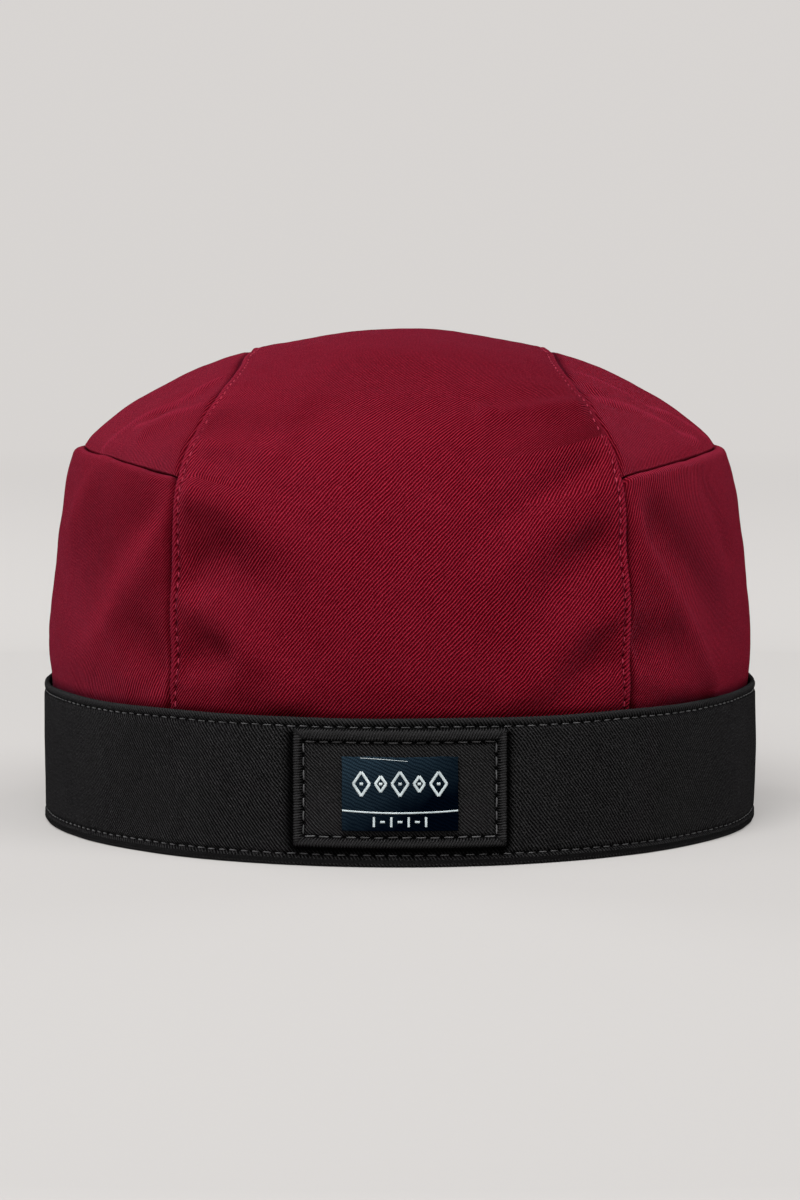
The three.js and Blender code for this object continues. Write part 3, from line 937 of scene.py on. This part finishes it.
def build_side_panel(side):
    left = side == "left"
    low, top = level_of(CROWN_LOW), level_of(SHOULDER)
    span = top - low
    even = np.linspace(0, span - SHOULDER_EDGE[-1], ROW_COUNT["side"], endpoint=False)
    levels = low + np.concatenate([even, span - SHOULDER_EDGE[::-1]])
    start = seam_azimuth(levels) - TUCK / WALL_RADIUS
    azimuth = np.pi / 2 + (np.pi / 2 - start)[:, None] * DENSE
    rows = on_side(crown_at(azimuth, levels[:, None]), side)
    grid = lay_columns(rows, FLANK_EDGE, FLANK_EDGE, COLUMN_STEP["side"])
    places, edge = grid.places, np.minimum(grid.from_left, grid.from_right)
    up, below = levels[:, None] - low, (top - levels)[:, None]
    relief = crown_relief(places, "side", edge)
    height = hem_puckers(places, SEED["side_hem"] + left)
    for seed, distance in enumerate((grid.from_left, grid.from_right), SEED["side_seams"] + 2 * left):
        relief = relief + flank_tuck(distance, places[..., 4])
        height += seam_puckers(up, distance, span, seed, 0.28) * (distance > 0)
    height += relief
    around = lengths_along(places[..., :3])
    height += 0.35 * bell(below, 1.4, 1.2) - 0.7 * fade(below, 0.0, 0.3)
    height += seam_puckers(around, below, around.max(), SEED["side_shoulder"] + left, 0.1)
    across = around - around[:, around.shape[1] // 2][:, None]
    across, along = slipped(across, up + 0 * across, grid, relief)
    # Lighter just under the shoulder seam: painted highlight, with some rubbing. Darker in the shoulder
    # seam's groove, where the cloth runs under the strip and just above the band: painted shade.
    wear = 0.35 * bell(below, 0.7, 0.4) - shoulder_shade(below) - tuck_shade(edge) - hem_shade(places)
    weave = Weave(across, along, TWILL[f"side_{side}"], wear)
    name = f"side_panel_{side}_cloth"
    return cloth_panel(name, places, grid.normals, height, height - CROWN_CLOTH, weave, crimson)


def creases_near(places):
    """How near the places lie to a fine crease, 1 on its line."""
    plan = places[..., None, :2]
    near = np.zeros(places.shape[:2])
    for crease in CREASES:
        line = smooth_line([crease[:2], crease[2:4], crease[4:]], samples=30)[:, :2]
        away = np.linalg.norm(plan - line, axis=-1).min(axis=-1)
        near = np.maximum(near, bell(away, 0, 0.8))
    return near


def top_panel_grid(side):
    """The grid of a top panel, its distances from the long seam and from the shoulder seam, and the
    columns at those two ends."""
    half_width, half_length, _ = section(level_of(SHOULDER))

    def shoulder_x(y):
        return half_width * np.sqrt(np.clip(1 - (y / half_length) ** 2, 0, 1))

    tip = float(bisect(lambda y: strip_half(y) - TUCK < shoulder_x(y), 0.0, half_length))
    y = np.linspace(-tip + 0.3, tip - 0.3, ROW_COUNT["top"])[:, None]
    start, stop = strip_half(y) - TUCK, shoulder_x(y) - 0.1
    x = start + (stop - start) * (DENSE + 1) / 2
    rows = on_side(crown_over(x, y + 0 * x), side)
    if side == "right":
        grid = lay_columns(rows, FLANK_EDGE, SHOULDER_EDGE, COLUMN_STEP["top"])
        return grid, grid.from_left, grid.from_right, 0, -1
    grid = lay_columns(rows, SHOULDER_EDGE, FLANK_EDGE, COLUMN_STEP["top"])
    return grid, grid.from_right, grid.from_left, -1, 0


def build_top_panel(side):
    left = side == "left"
    grid, from_seam, from_shoulder, inner_end, outer_end = top_panel_grid(side)
    places = grid.places
    seam = lengths_along(places[:, inner_end, :3])[:, None]
    shoulder = lengths_along(places[:, outer_end, :3])[:, None]
    height = crown_relief(places, "top", from_seam)
    height += seam_puckers(seam, from_seam, seam.max(), SEED["top_seam"] + left, 0.28) * (from_seam > 0)
    height += seam_puckers(shoulder, from_shoulder, shoulder.max(), SEED["top_shoulder"] + left, 0.1)
    height += 0.12 * bell(from_shoulder, 2.2, 1.5)
    creased = creases_near(places) * smoothstep(from_seam, 1.5, 5)
    height += 0.35 * creased
    groove = -0.6 * fade(from_shoulder, 0.0, 0.3)
    height += np.minimum(flank_tuck(from_seam, places[..., 4]), groove)
    width = lengths_along(places[..., :3])
    across = (width - width[:, inner_end][:, None]) + places[:, inner_end, 0][:, None]
    along = lengths_along(places[:, places.shape[1] // 2, :3])[:, None] + 0 * across
    # Lighter along the creases: painted highlight on their ridges. Darker in the shoulder seam's groove and
    # where the cloth runs under the strip: painted shade.
    wear = 0.6 * creased - shoulder_shade(from_shoulder) - tuck_shade(from_seam)
    weave = Weave(across, along, TWILL[f"top_{side}"], wear)
    name = f"top_panel_{side}_cloth"
    return cloth_panel(name, places, grid.normals, height, height - CROWN_CLOTH, weave, crimson)


# ---- band

def round_corner(centre, radius, start, stop, count):
    """Inset and height of points on an arc, by angles from the outward direction, turning up."""
    angle = np.radians(np.linspace(start, stop, count))
    return np.stack([centre[0] - radius * np.cos(angle), centre[1] + radius * np.sin(angle)], -1)


def band_outline():
    """The folded band's section as inset and height, from the bottom of its outer face round to it."""
    steps = np.array([0, 0.25, 0.5, 0.9, 1.6, 2.8])
    low, high = BAND_ROWS["low"], BAND_ROWS["high"]
    near_low = low + np.concatenate([-steps[3:0:-1], steps])
    near_high = high + np.concatenate([-steps[:0:-1], steps[:4]])
    field = np.linspace(near_low[-1], near_high[0], 14)[1:-1]
    near_patch = front_plate("label_patch", PATCH_SINK).low[1] + np.array([-0.3, 0.05, 0.4])
    heights = np.sort(np.concatenate([near_low, field, near_high, near_patch]))
    ledge_corner, top_roll = 0.4, BAND_PLY / 2
    return np.vstack([
        np.stack([np.zeros_like(heights), heights], -1),
        round_corner((top_roll, BAND_HEIGHT - top_roll), top_roll, 0, 180, 9),
        [[BAND_PLY, BAND_HEIGHT - 2], [BAND_PLY, BAND_LEDGE + 0.4], [BAND_PLY + 0.3, BAND_LEDGE]],
        round_corner((BAND_THICK - ledge_corner, BAND_LEDGE - ledge_corner), ledge_corner, 90, 180, 4),
        np.stack([np.full(10, BAND_THICK), np.linspace(BAND_LEDGE - 2.5, 2, 10)], -1),
        round_corner((BAND_THICK - FOOT_ROLL, FOOT_ROLL), FOOT_ROLL, 180, 270, 7),
        round_corner((FOOT_ROLL, FOOT_ROLL), FOOT_ROLL, 270, 360, 7),
    ])


def oval(azimuth, inset, height):
    """Points on an oval inside the band's outer one, and their level outward directions."""
    half_width, half_length = OUTER_WIDTH - inset, OUTER_LENGTH - inset
    x, y, z = np.broadcast_arrays(half_width * np.sin(azimuth), -half_length * np.cos(azimuth), height)
    outward = unit(np.stack([x / OUTER_WIDTH ** 2, y / OUTER_LENGTH ** 2, 0 * x], -1))
    return np.stack([x, y, z], -1), outward


def band_azimuths():
    """Azimuths of the band's columns, evenly spaced along it from the middle of the back."""
    dense = np.linspace(-np.pi, np.pi, 4001)
    length = lengths_along(oval(dense, 0, 0)[0])
    steps = np.linspace(0, length[-1], BAND_STITCHES * STEPS_PER_STITCH, endpoint=False)
    return np.interp(steps, length, dense), steps, length[-1]


def patch_press_and_shadow(points, height):
    """Where the patch's edge presses the band in and where a painted shadow lies beside it, 1 along that
    edge. The shadow reaches wider on the left.
    """
    low, high, _ = front_plate("label_patch", PATCH_SINK)
    beyond = -rounded_distance(points[..., 0], points[..., 2], low, high, PATCH_CORNER)
    near = (points[..., 1] < 0) & (height < BAND_ROWS["high"] - 1)
    return bell(np.where(near, beyond, 99.0), 0.1, np.where(points[..., 0] < low[0], 1.6, 1.1))


def build_band():
    outline = band_outline()
    azimuth, around, girth = band_azimuths()
    points, outward = oval(azimuth[None, :], outline[:, :1], outline[:, 1:])
    height = outline[:, 1:]
    outer = smoothstep(outline[:, :1], BAND_PLY, 0)
    wave = swing(around, girth / BAND_STITCHES)[None, :]
    relief = 0.0
    for row in BAND_ROWS.values():
        relief = relief - 0.5 * (0.8 + 0.2 * wave) * bell(height, row, 0.5)
    relief = relief - 0.05 * bell(height, BAND_ROWS["high"] + 1.1, 0.8)
    relief = relief + 0.18 * bell(height, BAND_ROWS["low"] - 1.3, 1.1)
    relief = relief + 0.3 * bell(height, 16, 11)
    uneven = ripples(points, 30, SEED["band"]) * 0.22 + ripples(points, 9, SEED["band"] + 1) * 0.06
    from_join = (around + girth / 2) % girth - girth / 2
    lap = smoothstep(from_join, -0.9, 0) * smoothstep(from_join, LAP["width"] + 3, LAP["width"])
    sunk = sum(bell(from_join, row, 0.5) for row in LAP["rows"])
    # Where the patch's edge presses the band in. The same mask later paints the shadow beside the patch
    # into the cloth's colour.
    press_and_shadow = patch_press_and_shadow(points, height)
    relief = relief + LAP["rise"] * lap[None, :] - 0.25 * sunk[None, :] - 0.7 * press_and_shadow
    rise = ripples(points, 42, SEED["band"] + 2) * 0.18 * smoothstep(height, 20, 32)
    points = points + outward * ((relief + uneven) * outer)[..., None]
    points[..., 2] += rise
    climb = lengths_along(np.vstack([outline, outline[:1]]))[:-1]
    across, along = np.broadcast_arrays(around[None, :], climb[:, None])
    maps = {key: 0.94 * face for key, face in cloth_maps(across, along, TWILL["band"]).items()}
    hole = (0.5 + 0.5 * wave) ** 2
    # Lighter along the top roll and the foot roll: painted highlight, with some rubbing at the top edge.
    # Darker along the stitch rows, most at the needle holes, and beside the patch's edge: painted shade and
    # painted shadow.
    wear = 0.45 * bell(height, BAND_HEIGHT - 0.3, 0.6) + 0.2 * bell(height, 0.8, 0.8)
    wear = wear - (0.5 + 0.6 * hole) * sum(bell(height, row, 0.42) for row in BAND_ROWS.values())
    wear = (wear - 1.3 * press_and_shadow) * outer
    faces = quads(np.pad(numbered(*points.shape[:2]), ((0, 1), (0, 1)), "wrap"))
    band = piece("band_cloth", points.reshape(-1, 3), faces, black, maps, wear)
    return band, band_stitches(outline, points, outward) + lap_stitches(outline, points, outward, from_join)


def band_stitches(outline, points, outward):
    """The two rows of stitches round the band."""
    made = []
    for seed, (name, level) in enumerate(BAND_ROWS.items(), SEED["band_stitches"]):
        ring = int(np.argmin(np.abs(outline[:len(outline) // 2, 1] - level)))
        path = np.vstack([points[ring], points[ring, :1]])
        out = np.vstack([outward[0], outward[0, :1]])
        pitch = lengths_along(path)[-1] / BAND_STITCHES * JUST_WHOLE
        made.append(stitch_row(f"band_stitches_{name}", path, out, pitch, BAND_THREAD, grey_thread, seed))
    return made


def lap_stitches(outline, points, outward, from_join):
    """The two upright rows of stitches through the lap at the back."""
    inset, height = outline.T
    face = (inset == 0) & (height > BAND_ROWS["low"] + 0.5) & (height < BAND_ROWS["high"] - 0.5)
    made = []
    for number, place in enumerate(LAP["rows"]):
        column = int(np.argmin(np.abs(from_join - place)))
        path, out = points[face, column], np.repeat(outward[:1, column], face.sum(), axis=0)
        name, seed = f"lap_stitches_{number}", SEED["lap_stitches"] + number
        made.append(stitch_row(name, path, out, LAP["pitch"], BAND_THREAD, grey_thread, seed))
    return made


# ---- patch and label

Plate = namedtuple("Plate", "low high base")


def front_plate(node, sink):
    """A front plate's lowest and highest X and Z, and how far out from the band's oval its relief starts,
    which is sunk behind the plate's front."""
    low, high = (np.array(corner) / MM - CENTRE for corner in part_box(node))
    return Plate(low[[0, 2]], high[[0, 2]], -low[1] - OUTER_LENGTH - sink)


def front_places(x, z, proud):
    """Points over the band's front, standing proud of it, and their outward directions."""
    azimuth = np.arcsin(np.clip(x / (OUTER_WIDTH + proud), -1, 1))
    return oval(azimuth, -proud, z)


def plate_lines(low, high, edge_steps, spacing):
    """Places from low to high that crowd towards both ends."""
    middle = np.linspace(low + edge_steps[-1], high - edge_steps[-1], int((high - low) / spacing))[1:-1]
    return np.concatenate([low + edge_steps, middle, high - edge_steps[::-1]])


def plate_grid(low, high, edge_steps, spacing):
    """X and Z of a grid over a plate that crowds towards its edges."""
    return np.meshgrid(*(plate_lines(*ends, edge_steps, spacing) for ends in zip(low, high)))


def rounded_distance(x, z, low, high, corner):
    """Distance inwards from the edge of a rectangle with rounded corners."""
    centre, half = (low + high) / 2, (high - low) / 2
    over_x = np.abs(x - centre[0]) - half[0] + corner
    over_z = np.abs(z - centre[1]) - half[1] + corner
    outside = np.hypot(np.clip(over_x, 0, None), np.clip(over_z, 0, None))
    return corner - outside - np.clip(np.maximum(over_x, over_z), None, 0)


PATCH_EDGE = np.array([
    0, 0.07, 0.18, 0.34, 0.55, 0.8, 1.1, 1.4, 1.7, 1.95, 2.2, 2.45, 2.7, 2.95, 3.3, 3.8, 4.5,
])


def build_patch():
    low, high, base = front_plate("label_patch", PATCH_SINK)
    low, high = low - PATCH_SPREAD, high + PATCH_SPREAD
    x, z = plate_grid(low, high, PATCH_EDGE, COLUMN_STEP["patch"])
    edge = rounded_distance(x, z, low, high, PATCH_CORNER)
    inside = (
        low + np.array([PATCH_ROW["side"], PATCH_ROW["bottom"]]),
        high - np.array([PATCH_ROW["side"], PATCH_ROW["top"]]),
    )
    from_row = rounded_distance(x, z, *inside, 0.4)
    points, outward = front_places(x, z, base)
    roll = edge_roll(edge, PATCH_ROLL)
    border = 0.8 * smoothstep(-from_row, 0.05, 0.7) * smoothstep(edge, -0.4, 0.9)
    level = (high[0] - np.abs(x)) > np.minimum(z - low[1], high[1] - z)
    ribs = 0.1 * swing(np.where(level, x, z), 2.1) * smoothstep(-from_row, -0.3, 0.6)
    dimple = 0.30 * bell(from_row, 0, 0.42)
    field = 0.10 * smoothstep(from_row, 0.6, 4)
    field = field + 0.07 * ripples(points, 9, SEED["patch"]) + 0.05 * ripples(points, 4, SEED["patch"] + 1)
    height = border + roll + ribs - dimple + field
    back = np.minimum(height - 0.2, -0.55 - 0.5 * roll)
    # Lighter along the rolled border: painted highlight. Darker along the stitch row and at the patch's
    # outer edge: painted shade. The small even lift is the patch's own lighter tone.
    wear = 0.15 + 0.45 * bell(edge, 1.0, 0.5) - 1.3 * bell(from_row, 0, 0.4) - 1.2 * bell(edge, 0, 0.33)
    along_edge = np.where(level, TWILL["patch_level_edge"], TWILL["patch_upright_edge"])
    twill_angle = np.where(from_row > -0.1, TWILL["patch"], along_edge)
    weave = Weave(1.05 * x, 1.05 * z, twill_angle, wear)
    panel = cloth_panel("label_patch_cloth", points, outward, height, back, weave, black)
    (left, bottom), (right, top) = inside
    corners = [(left, bottom), (right, bottom), (right, top), (left, top)]
    rows = []
    for number, (start, stop) in enumerate(zip(corners, corners[1:] + corners[:1])):
        count = round(math.dist(start, stop) / PATCH_ROW["pitch"])
        share = np.linspace(0, 1, 200)
        line_x, line_z = (a + (b - a) * share for a, b in zip(start, stop))
        path, out = front_places(line_x, line_z, base)
        path = path + out * sample(x[0], z[:, 0], height, line_x, line_z)[:, None]
        pitch = lengths_along(path)[-1] / count * JUST_WHOLE
        name, seed = f"patch_stitches_{number}", SEED["patch_stitches"] + number
        rows.append(stitch_row(name, path, out, pitch, PATCH_THREAD, grey_thread, seed))
    return panel, rows


def sample(xs, zs, grid, x, z):
    """Values of a grid at points, by bilinear steps."""
    column = np.clip(np.searchsorted(xs, x) - 1, 0, len(xs) - 2)
    row = np.clip(np.searchsorted(zs, z) - 1, 0, len(zs) - 2)
    share_x = (x - xs[column]) / (xs[column + 1] - xs[column])
    share_z = (z - zs[row]) / (zs[row + 1] - zs[row])
    lower = grid[row, column] * (1 - share_x) + grid[row, column + 1] * share_x
    upper = grid[row + 1, column] * (1 - share_x) + grid[row + 1, column + 1] * share_x
    return lower * (1 - share_z) + upper * share_z


LABEL_EDGE = np.array([0, 0.05, 0.12, 0.22, 0.4, 0.7, 1.1])
label_face = front_plate("woven_label", LABEL_SINK)


def label_height(x, z):
    """The label's gentle unevenness over its face."""
    place = np.stack([x, 0 * x, z], -1)
    middle = (label_face.low[1] + label_face.high[1]) / 2
    return 0.10 * ripples(place, 14, SEED["label"]) - 0.12 * bell(x, 0, 9) * bell(z, middle, 6)


def build_label():
    low, high, base = label_face
    x, z = plate_grid(low, high, LABEL_EDGE, COLUMN_STEP["label"])
    place = np.stack([x, 0 * x, z], -1)
    ragged_x = x + 0.06 * ripples(place, 3, SEED["label"] + 1) * (np.abs(x) > high[0] - 0.6)
    ragged_z = z + 0.08 * ripples(place, 4, SEED["label"] + 2) * (z > high[1] - 0.6)
    points, outward = front_places(ragged_x, ragged_z, base)
    roll = edge_roll(rounded_distance(x, z, low, high, LABEL_CORNER), LABEL_ROLL)
    height = LABEL_STAND + roll + label_height(x, z)
    weave = Weave(x, z - (low[1] + high[1]) / 2, TWILL["label"], 0 * height)
    inner = height - LABEL_CLOTH - roll
    return cloth_panel("woven_label_cloth", points, outward, height, inner, weave, navy)


def resampled(line, spacing):
    """Points about evenly spaced along a line through the given ones."""
    line = np.array(line, float)
    along = lengths_along(line)
    steps = np.linspace(0, along[-1], max(3, int(along[-1] / spacing) + 1))
    return np.stack([np.interp(steps, along, column) for column in line.T], -1)


def woven_line(line, width, rise=0.10):
    """Points, as a grid, of a low rounded ribbon of thread woven along a line of X and Z on the label."""
    dense = resampled(line, 0.25)
    tangent = unit(np.gradient(dense, axis=0))
    side = np.stack([-tangent[:, 1], tangent[:, 0]], -1)
    offsets = np.array([-0.5, -0.3, 0, 0.3, 0.5]) * width
    lifts = np.array([-0.06, rise * 0.8, rise, rise * 0.8, -0.06])
    x, z = np.moveaxis(dense[:, None] + side[:, None] * offsets[None, :, None], -1, 0)
    floor, out = front_places(x, z, label_face.base)
    height = LABEL_STAND + label_height(x, z) + lifts[None, :]
    return floor + out * height[..., None]


def build_label_motif():
    """White woven ornament: a row of lozenges, a rule across the label, and a row of upright and level
    bars, with a loose thread at the top."""
    low, high, _ = label_face
    middle, rule = (low[0] + high[0]) / 2, low[1] + RULE_HEIGHT
    centre = (rule + high[1]) / 2
    lines = []
    for step in range(-2, 3):
        x = middle + step * LOZENGE["pitch"]
        half_x, half_z = LOZENGE["small" if step % 2 else "large"]
        left, right = (x - half_x, centre), (x + half_x, centre)
        ring = [left, (x, centre + half_z), right, (x, centre - half_z), left]
        lines += [woven_line(side, LOZENGE["thread"]) for side in zip(ring, ring[1:])]
        lines.append(woven_line([(x - 0.35, centre), (x + 0.35, centre)], 0.7))
    across = np.linspace(low[0] + 0.1, high[0] - 0.1, 30)
    lines.append(woven_line([(x, rule - 0.5 * (1 - (x / high[0]) ** 2)) for x in across], 0.42))
    share = np.linspace(0, 1, 20)
    thread = np.stack([low[0] + 4 + 10 * share, high[1] - 0.2 - 0.7 * share ** 1.3], -1)
    lines.append(woven_line(thread, 0.13))
    for step in range(-3, 4):
        x, z = middle + step * BAR["pitch"], low[1] + BAR["height"]
        tall, wide = (BAR["upright"], 0) if step % 2 else (0, BAR["level"])
        lines.append(woven_line([(x - wide, z - tall), (x + wide, z + tall)], BAR["thread"]))
    faces, count = [], 0
    for line in lines:
        faces.append(quads(numbered(*line.shape[:2])) + count)
        count += line.shape[0] * line.shape[1]
    points = np.vstack([line.reshape(-1, 3) for line in lines])
    return piece("label_motif", points, np.vstack(faces), white_thread)


# ---- stage, light and camera

def build_stage():
    """A round pale floor that curves up all round into a wall."""
    floor_radius, curve, wall = 1900.0, 450.0, 60.0
    bend = np.radians(np.linspace(0, 84, 30))
    line = [(radius, 0.0) for radius in np.linspace(200, floor_radius, 8)]
    line += [(floor_radius + curve * math.sin(a), curve * (1 - math.cos(a))) for a in bend[1:]]
    line.append((line[-1][0] + wall * math.cos(bend[-1]), line[-1][1] + wall * math.sin(bend[-1])))
    radius, height = np.array(line).T[..., None]
    turn = np.linspace(0, 2 * np.pi, 96, endpoint=False)
    points = np.stack([radius * np.cos(turn), radius * np.sin(turn), height + 0 * turn], -1)
    corner = numbered(*points.shape[:2])
    faces = quads(np.hstack([corner, corner[:, :1]]).T).tolist()
    faces.append(corner[0].tolist())
    made = add_object("floor", smooth_mesh("floor", points.reshape(-1, 3), faces, floor_material()))


# Each softbox's place and size in metres, the height over the middle that it faces, and its watts.
Softbox = namedtuple("Softbox", "name place aim_height size power")
SOFTBOXES = [
    Softbox("top_left", (-0.52, -0.43, 1.45), 0.05, (1.2, 1.0), 7.5),
    Softbox("top_right", (0.65, -0.65, 1.31), 0.05, (0.8, 0.7), 12),
    Softbox("front", (-0.16, -0.9, 1.31), 0.05, (0.8, 0.6), 16.5),
    Softbox("front_left", (-0.4, -1.1, 1.0), 0.06, (0.6, 0.6), 10.5),
    Softbox("side_left", (-1.27, 1.06, 0.28), 0.06, (0.7, 0.4), 28),
    Softbox("side_right", (1.27, 1.06, 0.28), 0.06, (0.7, 0.4), 20),
]


def build_light():
    world = bpy.data.worlds.new("studio")
    world.use_nodes = True
    background = world.node_tree.nodes["Background"]
    background.inputs["Color"].default_value = (1.0, 0.985, 0.97, 1)
    background.inputs["Strength"].default_value = 0.08
    bpy.context.scene.world = world
    for box in SOFTBOXES:
        light = bpy.data.lights.new(box.name, "AREA")
        light.shape = "RECTANGLE"
        light.size, light.size_y = box.size
        light.energy = box.power
        made = add_object(box.name, light)
        made.location = box.place
        aim = Vector((0, 0, box.aim_height)) - Vector(box.place)
        made.rotation_euler = aim.to_track_quat("-Z", "Y").to_euler()
        made.visible_camera = False


def build_camera():
    """Looks at the front from a little above, down by a few degrees."""
    distance, eye, pitch = 1137.0, 136.3, 4.35
    camera = bpy.data.cameras.new("camera")
    camera.lens, camera.sensor_width = 146.6, 36
    camera.clip_start, camera.clip_end = 0.05, 50
    made = add_object("camera", camera)
    made.location = (0, (CENTRE[1] - distance) * MM, eye * MM)
    made.rotation_euler = (math.radians(90 - pitch), 0, 0)
    bpy.context.scene.camera = made


def declare(made, node, slot, rows=(), **sheet):
    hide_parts(node)


build_camera()
bpy.context.scene.view_settings.view_transform = "Standard"
build_stage()
build_light()

centre_panel, seam_rows = build_centre_panel()
declare(centre_panel, "centre_panel", "crimson_twill", seam_rows, flat=(0.108, 0.31), held="stretched")
for panel_side in ("left", "right"):
    side_panel, top_panel = build_side_panel(panel_side), build_top_panel(panel_side)
    side_node, top_node = f"side_panel_{panel_side}", f"top_panel_{panel_side}"
    declare(side_panel, side_node, "crimson_twill", flat=(0.175, 0.064), held="stretched")
    declare(top_panel, top_node, "crimson_twill", flat=(0.15, 0.05), held="stretched", area=0.0050)
band, band_rows = build_band()
declare(band, "band", "black_twill", band_rows, flat=(0.585, 0.034), held="folded")
patch, patch_rows = build_patch()
declare(patch, "label_patch", "black_twill", patch_rows, flat=(0.05, 0.03), held="laid")
label, motif = build_label(), build_label_motif()
declare(label, "woven_label", "navy_label", [motif], flat=(0.025, 0.0165), held="laid")
